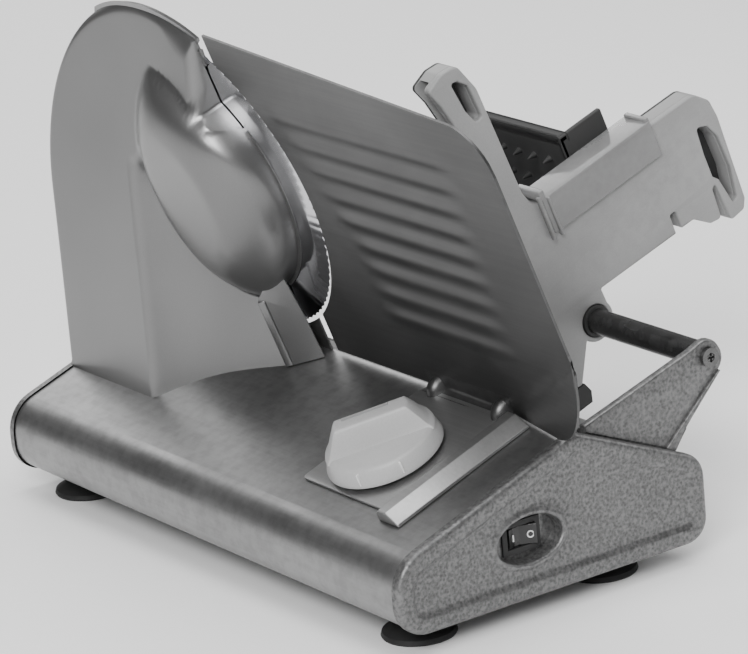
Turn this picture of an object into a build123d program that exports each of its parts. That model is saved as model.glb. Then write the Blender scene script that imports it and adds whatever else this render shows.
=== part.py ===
"""A small electric deli slicer with a 190 mm serrated blade, as separate pieces.

World frame, millimetres: +X runs along the base from the motor end to the switch end, +Y runs
from the low nose of the base to the food carriage, +Z is up and the rubber feet stand on Z = 0.
Most of the machine is square to the base's sloping front, so those pieces are drawn in a leaning
frame whose zero is the base's ridge: x as in the world, y "out" towards the food, z "up" the blade.
"""
from build123d import *
from math import asin, atan2, cos, degrees, pi, radians, sin, tan
import os

# ---- driving dimensions -------------------------------------------------------------------
LEAN = 19.5               # blade plane leans towards the nose by this angle, in degrees
BASE_LENGTH = 370.0
BASE_DEPTH = 190.0
FOOT_HEIGHT = 12.0
RIDGE_Y = 16.7            # the ridge of the base, where the leaning frame has its zero
RIDGE_Z = 88.1
REAR_SLOPE = 23.5
SHEET = 2.0               # wall of the base's wrapped sheet
CAP = 6.0                 # thickness of the cast end caps
HALF = BASE_LENGTH / 2

SWITCH_Y = -14.7          # middle of the oval recess in the right end cap
SWITCH_Z = 41.9
SWITCH_FLOOR = HALF - 12.0
SWITCH_FACE = SWITCH_FLOOR + 2
ROCKER_WIDE = 10.4
PIVOT_R = 1.4             # the rocker's pivot pin
PIVOT_X = SWITCH_FACE - 1.0
GLAND_R = 6.0             # bush where the mains lead leaves the left end cap
GLAND_Y = 62.0
GLAND_Z = 34.0

BLADE_R = 95.0
BLADE_X = -73.0
BLADE_UP = 104.4
TEETH = 104

HOUSING_R = 109.0         # rounded top of the motor housing, around the blade
HOUSING_ARC_UP = 97.0
HOUSING_LEFT = -182.0
HOUSING_RIGHT = -24.0     # straight right edge above the dome
HOUSING_EDGE_X = -96.0    # upright front corner of the housing
FRONT_OUT = -74.8         # housing front at the foot of the slope
FRONT_RATE = 0.354        # how fast the upright front closes on the leaning blade plane
WALL = 3.0
BACK_OUT = -1.4           # the housing's rear face, just in front of the blade's edge
MOTOR_FACE = -27.2        # the motor's mounting face
DOME_R = 72.0
DOME_OUT = -33.0
DOME_FILLET = 22.0
SKIRT_TOP = 118.0         # where the flank runs out into the dome's face
FLANK = [(-96, -75), (-89, -62), (-78, -48), (-64, -37), (-52, -28), (-46, -25), (-38.5, -22), (-38.5, 0)]
HOUSING_SCREWS = [(-162, -14), (-162, -62), (-104, -64)]         # x and out, from under the base
BACK_SCREWS = [(-174, 20), (-174, 95), (-150, 166), (-50, 8)]    # x and up, from the food side

PLATE_RIGHT = 211.4       # guide plate
PLATE_THICK = 1.5
PLATE_TOP_RIGHT = 184.0
PLATE_TOP_LEFT = 199.0
MAX_SLICE = 15.0          # travel of the guide plate

KNOB_X = 98.0
KNOB_OUT = -56.0
KNOB_R = 31.0
KNOB_TOP_R = 27.5
KNOB_FOOT = 4.2
KNOB_TURN = 300.0         # degrees from closed to fully open
KNOB_BUSH_R = 8.0
GRIP_TURN = 55.6          # the grip's flat stands this way round at rest
GROOVE_START = 8.0
FOLLOWER_R = 2.4

FENCE_X = 85.0            # outer face of the carriage's upright fence
FENCE_WIDE = 15.0
FENCE_TOP = 57.5
RAIL_R = 6.7
RAIL_Y = 109.5
RAIL_Z = 102.7
TABLE_LEFT = -60.0

MODULE = 1.5              # gear train: pinion 12 - 42, pinion 14 - 60
MOTOR_TEETH, IDLER_TEETH, IDLER_PINION_TEETH, BLADE_TEETH = 12, 42, 14, 60
IDLER_DISTANCE = MODULE * (BLADE_TEETH + IDLER_PINION_TEETH) / 2
MOTOR_DISTANCE = MODULE * (MOTOR_TEETH + IDLER_TEETH) / 2

os.makedirs("parts", exist_ok=True)
NODES = {}


def keep(name, shape):
    """Files a finished piece under the name of its node."""
    NODES[name] = shape


def lean(shape):
    """Takes a shape from the leaning frame to the world."""
    return Pos(0, RIDGE_Y, RIDGE_Z) * Rot(LEAN, 0, 0) * shape


def lean_point(x, out, up):
    """A point of the leaning frame, in the world."""
    a = radians(LEAN)
    return (x, RIDGE_Y + out * cos(a) - up * sin(a), RIDGE_Z + out * sin(a) + up * cos(a))


def side_prism(points, x0, x1):
    """A prism along x from a closed outline of (y, z) points."""
    face = Plane.YZ * make_face(Polyline(*points, close=True))
    return Pos(x0, 0, 0) * extrude(face, x1 - x0)


def face_prism(points, y0, y1):
    """A prism along y from a closed outline of (x, z) points."""
    face = make_face(Polyline(*[(x, 0, z) for x, z in points], close=True))
    return Pos(0, y0, 0) * extrude(face, y1 - y0, dir=(0, 1, 0))


def plan_prism(points, z0, z1):
    """A prism along z from a closed outline of (x, y) points."""
    return Pos(0, 0, z0) * extrude(make_face(Polyline(*points, close=True)), z1 - z0)


def rod(axis, r, start, end, a=0.0, b=0.0):
    """A cylinder along x, y or z from start to end; a and b are its other two coordinates in order."""
    length = end - start
    mid = (start + end) / 2
    if axis == "x":
        return Pos(mid, a, b) * Rot(0, 90, 0) * Cylinder(r, length)
    if axis == "y":
        return Pos(a, mid, b) * Rot(90, 0, 0) * Cylinder(r, length)
    return Pos(a, b, mid) * Cylinder(r, length)


def block(x0, x1, y0, y1, z0, z1):
    """A box between two corners."""
    return Pos((x0 + x1) / 2, (y0 + y1) / 2, (z0 + z1) / 2) * Box(x1 - x0, y1 - y0, z1 - z0)


def rounded(outline, radii):
    """A closed wire through the outline's corners, each rounded by its own radius."""
    return FilletPolyline(*outline, radius=radii, close=True)


# ---- base ---------------------------------------------------------------------------------
def base_outline(grow=0.0):
    """Cross-section of the base as a face in the YZ plane, grown by an even amount."""
    front, rear = -BASE_DEPTH / 2, BASE_DEPTH / 2
    nose_z = RIDGE_Z - (RIDGE_Y - front) * tan(radians(LEAN))
    tail_z = RIDGE_Z - (rear - RIDGE_Y) * tan(radians(REAR_SLOPE))
    corners = [(front, FOOT_HEIGHT), (rear, FOOT_HEIGHT), (rear, tail_z), (RIDGE_Y, RIDGE_Z), (front, nose_z)]
    radii = [17.0, 12.0, 14.0, 3.0, 20.0]
    face = Plane.YZ * make_face(rounded(corners, radii))
    return offset(face, grow) if grow else face


def base_bar(x0, x1, grow=0.0):
    return Pos(x0, 0, 0) * extrude(base_outline(grow), x1 - x0)


def make_base():
    end = HALF - CAP
    shell = base_bar(-end, end) - base_bar(-end - 1, end + 1, -SHEET)
    shell -= block(-150, 150, -50, 32, FOOT_HEIGHT - 1, FOOT_HEIGHT + SHEET + 1)
    wiring = lean(block(-150, -110, -60, -30, -4, 4))
    bush_hole = lean(rod("z", KNOB_BUSH_R, -6, 4, KNOB_X, KNOB_OUT))
    shell -= wiring + bush_hole
    for x in guide_screw_x():
        shell -= lean(rod("z", 1.6, -6, 4, x, KNOB_OUT))
    for x, y in foot_places():
        shell -= rod("z", 2.1, FOOT_HEIGHT - 1, FOOT_HEIGHT + SHEET + 1, x, y)
    keep("base_shell", shell)

    floor_z = FOOT_HEIGHT + SHEET
    floor = block(-156, 156, -55, 37, floor_z, floor_z + 1.5)
    for row in range(8):
        x = -130 + row * 14
        floor -= block(x, x + 5, -34, 16, floor_z - 1, floor_z + 3)
    keep("base_floor", floor)


def make_end_cap(side):
    """A cast end cap with a raised border; side is +1 at the switch end and -1 at the motor end."""
    inner, outer = HALF - CAP, HALF
    body = base_bar(inner, outer, 0.8)
    body = fillet(body.faces().sort_by(Axis.X)[-1].edges(), 1.6)
    body -= base_bar(outer - 1.2, outer + 1, -9.0)
    plug = base_bar(inner - 8, inner, -SHEET - 0.15) - base_bar(inner - 9, inner, -SHEET - 2.2)
    body += plug
    if side > 0:
        oval = Plane.YZ * Pos(SWITCH_Y, SWITCH_Z) * Ellipse(20.0, 12.2)
        rim = Plane.YZ * Pos(SWITCH_Y, SWITCH_Z) * Ellipse(22.6, 14.8)
        body += Pos(SWITCH_FLOOR, 0, 0) * extrude(rim, outer - 0.5 - SWITCH_FLOOR)
        body -= Pos(SWITCH_FLOOR + 2, 0, 0) * extrude(oval, outer - SWITCH_FLOOR)
        body -= block(SWITCH_FLOOR - 1, SWITCH_FLOOR + 3, SWITCH_Y - 10, SWITCH_Y + 10, SWITCH_Z - 7, SWITCH_Z + 7)
        keep("end_cap_right", body)
        return
    body -= rod("x", GLAND_R, HALF - 20, HALF + 2, GLAND_Y, GLAND_Z)
    keep("end_cap_left", mirror(body, Plane.YZ))


def guide_screw_x():
    return [KNOB_X - 20, KNOB_X + 20]


def foot_places():
    return [(x, y) for x in (-155, 155) for y in (-65.5, 48.0)]


def make_feet():
    names = ["foot_front_left", "foot_rear_left", "foot_front_right", "foot_rear_right"]
    profile = [(0, FOOT_HEIGHT), (9, FOOT_HEIGHT), (9, 7.5), (13, 6.2), (18.5, 3.0), (19.2, 1.0),
               (18.6, 0), (14, 0), (10, 1.6), (0, 1.6)]
    screws = []
    for name, (x, y) in zip(names, foot_places()):
        face = make_face(Polyline(*[(r, 0, z) for r, z in profile], close=True))
        foot = revolve(face, Axis.Z) - rod("z", 2.2, 1, 13) - rod("z", 4.4, 1, 5)
        keep(name, Pos(x, y, 0) * foot)
        screw = rod("z", 2.0, 4.6, FOOT_HEIGHT + 7) + rod("z", 4.0, 2.0, 4.6)
        nut = RegularPolygon(4.0, 6)
        lock = extrude(nut, 3.0) - rod("z", 2.0, -1, 4)
        screws += [Pos(x, y, 0) * (screw + Pos(0, 0, FOOT_HEIGHT + SHEET) * lock)]
    keep("foot_screws", Compound(screws))


def make_switch_and_gland():
    front = SWITCH_FACE
    body = block(front, front + 1.6, SWITCH_Y - 11.5, SWITCH_Y + 11.5, SWITCH_Z - 8.3, SWITCH_Z + 8.3)
    body += block(front - 14, front, SWITCH_Y - 9.8, SWITCH_Y + 9.8, SWITCH_Z - 6.8, SWITCH_Z + 6.8)
    body -= block(front - 8, front + 3, SWITCH_Y - 8.6, SWITCH_Y + 8.6, SWITCH_Z - 5.6, SWITCH_Z + 5.6)
    for dy in (-6, 0, 6):
        body += block(front - 22, front - 14, SWITCH_Y + dy - 0.4, SWITCH_Y + dy + 0.4, SWITCH_Z - 3, SWITCH_Z + 3)
    body -= rod("z", PIVOT_R + 0.06, SWITCH_Z - 6.3, SWITCH_Z + 6.3, PIVOT_X, SWITCH_Y)
    keep("switch_body", body)
    outline = [(-7.6, 1.2), (0, -0.5), (7.6, 3.6), (7.2, -4.5), (-7.2, -4.5)]
    rocker = plan_prism([(front + 0.8 + h, SWITCH_Y + y) for y, h in outline],
                        SWITCH_Z - ROCKER_WIDE / 2, SWITCH_Z + ROCKER_WIDE / 2)
    rocker += rod("z", PIVOT_R, SWITCH_Z - 6.1, SWITCH_Z + 6.1, PIVOT_X, SWITCH_Y)
    keep("switch_rocker", rocker)

    gland = rod("x", GLAND_R - 0.05, -HALF, -HALF + 16, GLAND_Y, GLAND_Z)
    gland += rod("x", GLAND_R + 2.5, -HALF - 2.6, -HALF, GLAND_Y, GLAND_Z)
    gland -= rod("x", 3.6, -HALF - 4, -HALF + 18, GLAND_Y, GLAND_Z)
    keep("cord_gland", gland)


# ---- rail and its brackets ----------------------------------------------------------------
def roof(y):
    """Height of the base's rear slope at y."""
    return RIDGE_Z - (y - RIDGE_Y) * tan(radians(REAR_SLOPE))


def make_rail():
    inner, outer = HALF - 14, HALF - 9
    head_r = 10.0
    y_front, y_rear = RIDGE_Y + 12, 84.0
    outline = [(y_front, roof(y_front) - 1), (y_rear, roof(y_rear)), (RAIL_Y + 9.4, RAIL_Z - 4.0),
               (RAIL_Y + 4, RAIL_Z + 9.2), (RAIL_Y - 6.0, RAIL_Z + 8.0), (y_front + 2, roof(y_front) + 4.0)]
    web = side_prism(outline, inner, outer) + rod("x", head_r, inner, outer, RAIL_Y, RAIL_Z)
    shin = [(y_rear - 6, roof(y_rear - 6)), (y_rear, roof(y_rear)), (RAIL_Y + 9.4, RAIL_Z - 4.0),
            (RAIL_Y + 1, RAIL_Z - 6)]
    web += side_prism(shin, inner, outer + 2.2)
    flange = [(y_front, roof(y_front)), (y_rear, roof(y_rear)), (y_rear, roof(y_rear) + 3),
              (y_front, roof(y_front) + 3)]
    web += side_prism(flange, inner - 14, inner)
    for y in (y_front + 12, y_rear - 14):
        web -= Pos(inner - 8, y, roof(y)) * Rot(-REAR_SLOPE, 0, 0) * Cylinder(2.1, 12)
    web -= rod("x", 3.1, inner - 1, outer + 4, RAIL_Y, RAIL_Z)
    web -= base_bar(-HALF, HALF)
    keep("rail_bracket_right", web)
    keep("rail_bracket_left", mirror(web, Plane.YZ))
    tube = rod("x", RAIL_R, -inner, inner, RAIL_Y, RAIL_Z)
    tube -= rod("x", RAIL_R - 2.4, -inner + 12, inner - 12, RAIL_Y, RAIL_Z)
    for s in (-1, 1):
        tube -= rod("x", 3.0, *sorted((s * (inner - 13), s * (inner + 1))), RAIL_Y, RAIL_Z)
    keep("carriage_rail", tube)
    screws, small = [], []
    for s in (-1, 1):
        shank = rod("x", 3.0, inner - 10, outer, RAIL_Y, RAIL_Z) + rod("x", 5.2, outer, outer + 2.6, RAIL_Y, RAIL_Z)
        shank -= Pos(outer + 2.6, RAIL_Y, RAIL_Z) * Rot(0, 90, 0) * extrude(RegularPolygon(2.6, 6), -2.0)
        screws.append(shank if s > 0 else mirror(shank, Plane.YZ))
        for y in (y_front + 12, y_rear - 14):
            pin = rod("z", 2.0, -5, 2.8) + rod("z", 3.8, 2.8, 5)
            pin = Pos(inner - 8, y, roof(y)) * Rot(-REAR_SLOPE, 0, 0) * pin
            small.append(pin if s > 0 else mirror(pin, Plane.YZ))
    keep("rail_screws", Compound(screws))
    keep("bracket_screws", Compound(small))
    holes = [Pos(s * (inner - 8), y, roof(y)) * Rot(-REAR_SLOPE, 0, 0) * Cylinder(2.05, 14)
             for s in (-1, 1) for y in (y_front + 12, y_rear - 14)]
    shell = NODES["base_shell"]
    for hole in holes:
        shell -= hole
    keep("base_shell", shell)


# ---- motor housing ------------------------------------------------------------------------
def front_out(up, inset=0.0):
    """How far out the housing's front stands at a height up the blade plane."""
    return FRONT_OUT + FRONT_RATE * up + inset


def arch(radius, left, right, low, y0, y1):
    """Rounded-top slab parallel to the blade, its arc centred over the blade's axis."""
    top = HOUSING_ARC_UP
    half = (right - BLADE_X) / radius

    def on_arc(turn):
        return (BLADE_X + radius * sin(turn), 0, top + radius * cos(turn))

    ends = -asin(min(1.0, (BLADE_X - left) / radius)), asin(half)
    start, end = on_arc(ends[0]), on_arc(ends[1])
    path = [Line((start[0], 0, low), start), ThreePointArc(start, on_arc(sum(ends) / 2), end),
            Line(end, (end[0], 0, low)), Line((end[0], 0, low), (start[0], 0, low))]
    return Pos(0, y0, 0) * extrude(make_face(path), y1 - y0, dir=(0, 1, 0))


def skirt():
    """The concave flank that spreads from the dome to the housing's foot on the slope."""
    def section(up, squash):
        curve = [(x, DOME_OUT + (y - DOME_OUT) * squash if y < DOME_OUT else y) for x, y in FLANK]
        left = curve[0][0] - 46
        points = [(left, 2), (left, front_out(up)), (curve[0][0], front_out(up))] + curve[1:]
        return Pos(0, 0, up) * make_face(Polyline(*points, close=True))

    return loft([section(0, 1.0), section(SKIRT_TOP, 0.03)], ruled=True)


def skirt_hollow():
    """The space inside the flank: a deep step near the foot and a shallower one all the way up."""
    back = [(-42.5, -18), (-42.5, 2)]
    deep = [(-142, 2), (-142, -48), (-100, -48), (-93, -44), (-81, -36), (-66, -31), (-54, -24), (-49, -21)]
    shallow = [(-142, 2), (-142, -30), (-62, -30), (-55, -24), (-49, -21)]
    return plan_prism(deep + back, -1, 55) + plan_prism(shallow + back, -1, SKIRT_TOP)


def housing_forms(inset):
    """The solids that make up the housing, or its cavity when inset is the wall."""
    back = 1.0 if inset else BACK_OUT
    low = -1.0 if inset else 0.0
    slope = [(back, low), (front_out(low, inset), low), (front_out(215, inset), 215), (back, 215)]
    wedge = side_prism(slope, -190, 20)
    left_part = arch(HOUSING_R - inset, HOUSING_LEFT + inset, HOUSING_EDGE_X - inset, low, -90, 2) & wedge
    upper = arch(HOUSING_R - inset, HOUSING_EDGE_X - 20, HOUSING_RIGHT - inset, SKIRT_TOP + 8, -90, 2) & wedge
    dome = rod("y", DOME_R - inset, DOME_OUT + inset, back, BLADE_X, BLADE_UP)
    front = dome.faces().sort_by(Axis.Y)[0]
    dome = fillet(front.edges(), DOME_FILLET - inset)
    side = [(HOUSING_EDGE_X - inset, 2), (HOUSING_EDGE_X - inset, -22), (HOUSING_EDGE_X + 12, DOME_OUT - 1),
            (20, DOME_OUT - 1), (20, 2)]
    flank = skirt_hollow() if inset else skirt() & wedge
    return [left_part, flank, upper, dome & plan_prism(side, 0, 200)]


def train_places():
    """Centres of the idler and the motor, from the gears' centre distances."""
    slant = radians(230)
    idler = (BLADE_X + IDLER_DISTANCE * cos(slant), BLADE_UP + IDLER_DISTANCE * sin(slant))
    turn = radians(232)
    motor = (idler[0] + MOTOR_DISTANCE * cos(turn), idler[1] + MOTOR_DISTANCE * sin(turn))
    return idler, motor


def make_housing():
    forms = housing_forms(0.0)
    outer = forms[0] + forms[1] + forms[2] + forms[3]
    idler, motor = train_places()
    shell = outer
    for hollow in housing_forms(WALL):
        shell -= hollow
    bosses = rod("y", 9, DOME_OUT, -18.2, BLADE_X, BLADE_UP) + rod("y", 6, -70, -24, *idler)
    for dx in (-28, 28):
        bosses += rod("y", 3.5, -80, MOTOR_FACE, motor[0] + dx, motor[1])
    for x, up in BACK_SCREWS:
        bosses += rod("y", 4.5, -20, BACK_OUT, x, up)
    shell += bosses & outer
    shell -= rod("y", BLADE_R + 3, -7, 1, BLADE_X, BLADE_UP)
    shell -= rod("y", 5.0, -32, -10, BLADE_X, BLADE_UP) + rod("y", 3.0, -46, -20, *idler)
    for dx in (-28, 28):
        shell -= rod("y", 1.5, MOTOR_FACE - 9, MOTOR_FACE + 1, motor[0] + dx, motor[1])
    for x, up in BACK_SCREWS:
        shell -= rod("y", 1.5, -12, 1, x, up)
    for x, out in HOUSING_SCREWS:
        shell += rod("z", 4.5, 0, 12, x, out) & outer
        shell -= rod("z", 1.5, -1, 10, x, out)
    keep("blade_housing", largest(lean(shell) - cap_room()))
    fixings = [rod("z", 1.45, -2, 9, x, out) + rod("z", 3.4, -4.2, -2.05, x, out)
               for x, out in HOUSING_SCREWS]
    keep("housing_screws", lean(Compound(fixings)))
    base = NODES["base_shell"]
    for x, out in HOUSING_SCREWS:
        base -= lean(rod("z", 1.6, -4, 1, x, out))
    keep("base_shell", base)

    plate = arch(HOUSING_R, HOUSING_LEFT, HOUSING_RIGHT, 0.2, BACK_OUT + 0.1, -0.2)
    plate -= rod("y", BLADE_R + 2, -5, 5, BLADE_X, BLADE_UP)
    for x, up in BACK_SCREWS:
        plate -= rod("y", 1.7, -5, 5, x, up)
    keep("housing_back_plate", largest(lean(plate) - cap_room()))
    screws = [rod("y", 1.45, -9, -0.2, x, up) + rod("y", 3.2, -0.2, 0.9, x, up) for x, up in BACK_SCREWS]
    keep("back_plate_screws", lean(Compound(screws)))


def cap_room():
    """Space that the left end cap takes under the housing, with a small gap."""
    return base_bar(-HALF - 1, -HALF + CAP + 0.2, 1.0)


def largest(shape):
    """The biggest solid of a shape, without crumbs that a cut leaves."""
    return sorted(shape.solids(), key=lambda s: s.volume)[-1]


def gear(teeth, y0, y1, phase=0.0):
    """A spur gear along y about the origin; a tooth points at phase degrees from +x towards +z."""
    pitch = MODULE * teeth / 2
    root, tip = pitch - 1.25 * MODULE, pitch + 0.92 * MODULE
    step = 2 * pi / teeth
    half = step / 4 - 0.14 / pitch
    points = []
    for i in range(teeth):
        mid = radians(phase) + i * step
        for r, wide in ((root, 1.62), (pitch, 1.0), (tip, 0.5)):
            points.append((r, mid - half * wide))
        for r, wide in ((tip, 0.5), (pitch, 1.0), (root, 1.62)):
            points.append((r, mid + half * wide))
    return face_prism([(r * cos(a), r * sin(a)) for r, a in points], y0, y1)


def phase_towards(start, to, teeth, gap):
    """Phase that points a tooth, or a gap, of the gear at start towards the gear at to."""
    angle = degrees(atan2(to[1] - start[1], to[0] - start[0]))
    return angle + (180 / teeth if gap else 0)


def make_drive():
    blade_at = (BLADE_X, BLADE_UP)
    idler, motor = train_places()
    spindle = rod("y", 5.0, -32, -6.2, *blade_at)
    keep("blade_spindle", lean(spindle))
    phase = phase_towards(blade_at, idler, BLADE_TEETH, True)
    wheel = Pos(BLADE_X, 0, BLADE_UP) * gear(BLADE_TEETH, -15, -9, phase)
    wheel += rod("y", 14, -17.4, -5.1, *blade_at)
    for k in range(6):
        spot = (BLADE_X + 27 * cos(k * pi / 3), BLADE_UP + 27 * sin(k * pi / 3))
        wheel -= rod("y", 7.5, -30, -10, *spot)
    wheel -= rod("y", 8.0, -30, -8.0, *blade_at) + rod("y", 5.4, -9, -5.9, *blade_at)
    wheel -= rod("y", 5.4, -6.4, 0, *blade_at)
    for k in range(3):
        wheel -= rod("y", 1.4, -12, 0, *blade_screw_place(k))
    keep("drive_gear", lean(wheel))

    bush = rod("y", 8.0, -17.4, -8.0, *blade_at) - rod("y", 5.06, -30, -5, *blade_at)
    keep("spindle_bush", lean(bush))
    keep("blade", lean(make_blade()))
    screws = [rod("y", 1.35, -11, -3.75, *blade_screw_place(k)) + rod("y", 2.6, -3.75, -2.4, *blade_screw_place(k))
              for k in range(3)]
    keep("blade_screws", lean(Compound(screws)))
    cap = rod("y", 5.2, -5.2, -2.6, *blade_at) + rod("y", 6.0, -3.7, -1.0, *blade_at)
    cap -= block(BLADE_X - 7, BLADE_X + 7, -2.0, 0, BLADE_UP - 0.9, BLADE_UP + 0.9)
    keep("blade_centre_cap", lean(cap))

    wheel = gear(IDLER_TEETH, -23, -17, 0.0)
    pinion = gear(IDLER_PINION_TEETH, -17, -8.6, phase_towards(idler, blade_at, IDLER_PINION_TEETH, False))
    body = wheel + pinion - rod("y", 3.06, -30, 0)
    keep("idler_gear", lean(Pos(idler[0], 0, idler[1]) * body))
    axle = rod("y", 3.0, -46, -8.0, *idler) + rod("y", 4.4, -8.3, -7.2, *idler)
    keep("idler_axle", lean(axle))

    pinion_phase = motor_pinion_phase(idler, motor)
    pinion = gear(MOTOR_TEETH, -23.4, -16.8, pinion_phase) - rod("y", 2.0, -30, 0)
    keep("motor_pinion", lean(Pos(motor[0], 0, motor[1]) * pinion))
    keep("motor_shaft", lean(rod("y", 2.0, -47, -16.4, *motor)))
    can = rod("y", 24, -50.5, MOTOR_FACE - 0.3, *motor)
    can = fillet(can.faces().sort_by(Axis.Y)[0].edges(), 3.0)
    can -= rod("y", 2.06, -47.5, -10, *motor)
    keep("motor_can", lean(can))
    mount = rod("y", 25.5, MOTOR_FACE, MOTOR_FACE + 2, *motor)
    for dx in (-28, 28):
        mount += rod("y", 4.5, MOTOR_FACE, MOTOR_FACE + 2, motor[0] + dx, motor[1])
    mount -= rod("y", 6, -30, 0, *motor)
    screws = []
    for dx in (-28, 28):
        mount -= rod("y", 1.6, -30, 0, motor[0] + dx, motor[1])
        screws.append(rod("y", 1.45, -35, MOTOR_FACE + 2, motor[0] + dx, motor[1])
                      + rod("y", 3.0, MOTOR_FACE + 2, MOTOR_FACE + 3.6, motor[0] + dx, motor[1]))
    keep("motor_mount", lean(mount))
    keep("motor_screws", lean(Compound(screws)))


def motor_pinion_phase(idler, motor):
    """Turns the motor pinion so that its gap faces whatever the idler wheel shows it."""
    line = degrees(atan2(motor[1] - idler[1], motor[0] - idler[0]))
    step = 360 / IDLER_TEETH
    past = (line % step) / step                 # where the line falls between two idler teeth
    back = line + 180
    return back + (0.5 + past) * 360 / MOTOR_TEETH


def blade_screw_place(k):
    a = radians(90 + 120 * k)
    return BLADE_X + 10 * cos(a), BLADE_UP + 10 * sin(a)


def make_blade():
    """A dished disc with a bevelled, scalloped rim; its cutting edge is at out = -0.3."""
    profile = [(5.3, -5.0), (58, -5.0), (66, -1.7), (88, -1.7), (BLADE_R, -0.8), (BLADE_R, -0.3),
               (66, -0.3), (57.2, -3.8), (5.3, -3.8)]
    face = make_face(Polyline(*[(r, y, 0) for r, y in profile], close=True))
    disc = revolve(face, Axis.Y)
    points = []
    for k in range(TEETH * 2):
        r = BLADE_R - (1.7 if k % 2 else 0.0)
        a = k * pi / TEETH
        points.append((r * cos(a), r * sin(a)))
    disc = disc & face_prism(points, -10, 5)
    disc = Pos(BLADE_X, 0, BLADE_UP) * disc
    for k in range(3):
        disc -= rod("y", 1.5, -8, 0, *blade_screw_place(k))
    return disc


# ---- guide plate and thickness knob -------------------------------------------------------
def make_guide():
    """A pressed sheet: an upright plate beside the blade, folded to a foot under the knob."""
    back, front = -0.4, -0.4 - PLATE_THICK
    low = 2.6
    left_top, left_low = -14.0, -16.0
    corner = 24.0
    top_c = (PLATE_RIGHT - corner, PLATE_TOP_RIGHT - corner - 1)
    path = [Line((left_low, low), (182, low)),
            Line((182, low), (PLATE_RIGHT - 3, 38)),
            ThreePointArc((PLATE_RIGHT - 3, 38), (PLATE_RIGHT - 0.6, 42), (PLATE_RIGHT, 47)),
            Line((PLATE_RIGHT, 47), (PLATE_RIGHT, top_c[1])),
            ThreePointArc((PLATE_RIGHT, top_c[1]), (top_c[0] + corner * 0.74, top_c[1] + corner * 0.71),
                          (top_c[0], PLATE_TOP_RIGHT)),
            Line((top_c[0], PLATE_TOP_RIGHT), (left_top, PLATE_TOP_LEFT)),
            Line((left_top, PLATE_TOP_LEFT), (left_low, low))]
    flat = make_face([Plane.XZ * piece for piece in path])
    plate = Pos(0, front, 0) * extrude(flat, PLATE_THICK, dir=(0, 1, 0))
    plate -= rod("y", BLADE_R + 2.2, -10, 5, BLADE_X, BLADE_UP)
    for k in range(9):
        plate += plate_rib(k, front)
    foot_left, foot_right = 64.0, 139.0
    foot = block(foot_left, foot_right, -88, back, 0.3, 0.3 + PLATE_THICK)
    heel = block(foot_left + 4, foot_right, front, back, 0.3, low + 1)
    channel = side_rib(foot_right)
    gusset = [(front, 0.3 + PLATE_THICK), (front - 9, 0.3 + PLATE_THICK), (front, 11)]
    for x in (76.0, 132.0):
        heel += side_prism(gusset, x - 4, x + 4)
    foot -= block(KNOB_X - 4.6, KNOB_X + 4.6, KNOB_OUT - 4.6, KNOB_OUT + MAX_SLICE + 4.6, -2, 4)
    for x in guide_screw_x():
        foot -= block(x - 2.3, x + 2.3, KNOB_OUT - 2.3, KNOB_OUT + MAX_SLICE + 2.3, -2, 4)
    foot -= rod("z", 1.8, -2, 4, KNOB_X, KNOB_OUT - GROOVE_START)
    sheet = plate + heel + foot + channel
    keep("guide_plate", lean(largest(sheet)))

    pin = rod("z", 1.8, 0.4, 1.8, KNOB_X, KNOB_OUT - GROOVE_START)
    pin += rod("z", FOLLOWER_R, 1.8, 8.6, KNOB_X, KNOB_OUT - GROOVE_START)
    keep("cam_follower", lean(pin))
    screws = []
    for x in guide_screw_x():
        screw = rod("z", 1.95, 0.05, 2.1, x, KNOB_OUT) + rod("z", 1.55, -8, 0.05, x, KNOB_OUT)
        screws.append(screw + rod("z", 4.2, 2.1, 3.5, x, KNOB_OUT))
    keep("guide_screws", lean(Compound(screws)))


def plate_rib(k, front):
    """One of the pressed ribs, longer towards the bottom of the plate."""
    up = 158.0 - 14.2 * k
    x0, x1 = 14.0 + 7.0 * min(k, 5), 176.0 - 1.5 * k
    return rod("x", 2.0, x0, x1, front, up) & block(-50, 250, front - 2.2, front + 0.4, 0, 220)


def side_rib(right):
    """The raised channel along the foot's open edge."""
    outer = [(right - 1, 0.3), (right - 1, 5.2), (right + 2, 7.0), (right + 8, 7.0), (right + 16, 1.8),
             (right + 16, 0.3)]
    inner = [(right + 0.6, 0.2), (right + 0.6, 4.6), (right + 2.6, 5.6), (right + 7.6, 5.6), (right + 13.6, 1.2),
             (right + 13.6, 0.2)]
    rib = face_prism(outer, -94, -6) - face_prism(inner, -95, -5)
    return rib


def spiral(offset_r, count=25):
    """Points of the knob's cam groove, offset from its middle line, at rest."""
    points = []
    for k in range(count):
        t = k / (count - 1)
        r = GROOVE_START + MAX_SLICE * t + offset_r
        a = -pi / 2 - radians(KNOB_TURN) * t
        points.append((KNOB_X + r * cos(a), KNOB_OUT + r * sin(a)))
    return points


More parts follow.
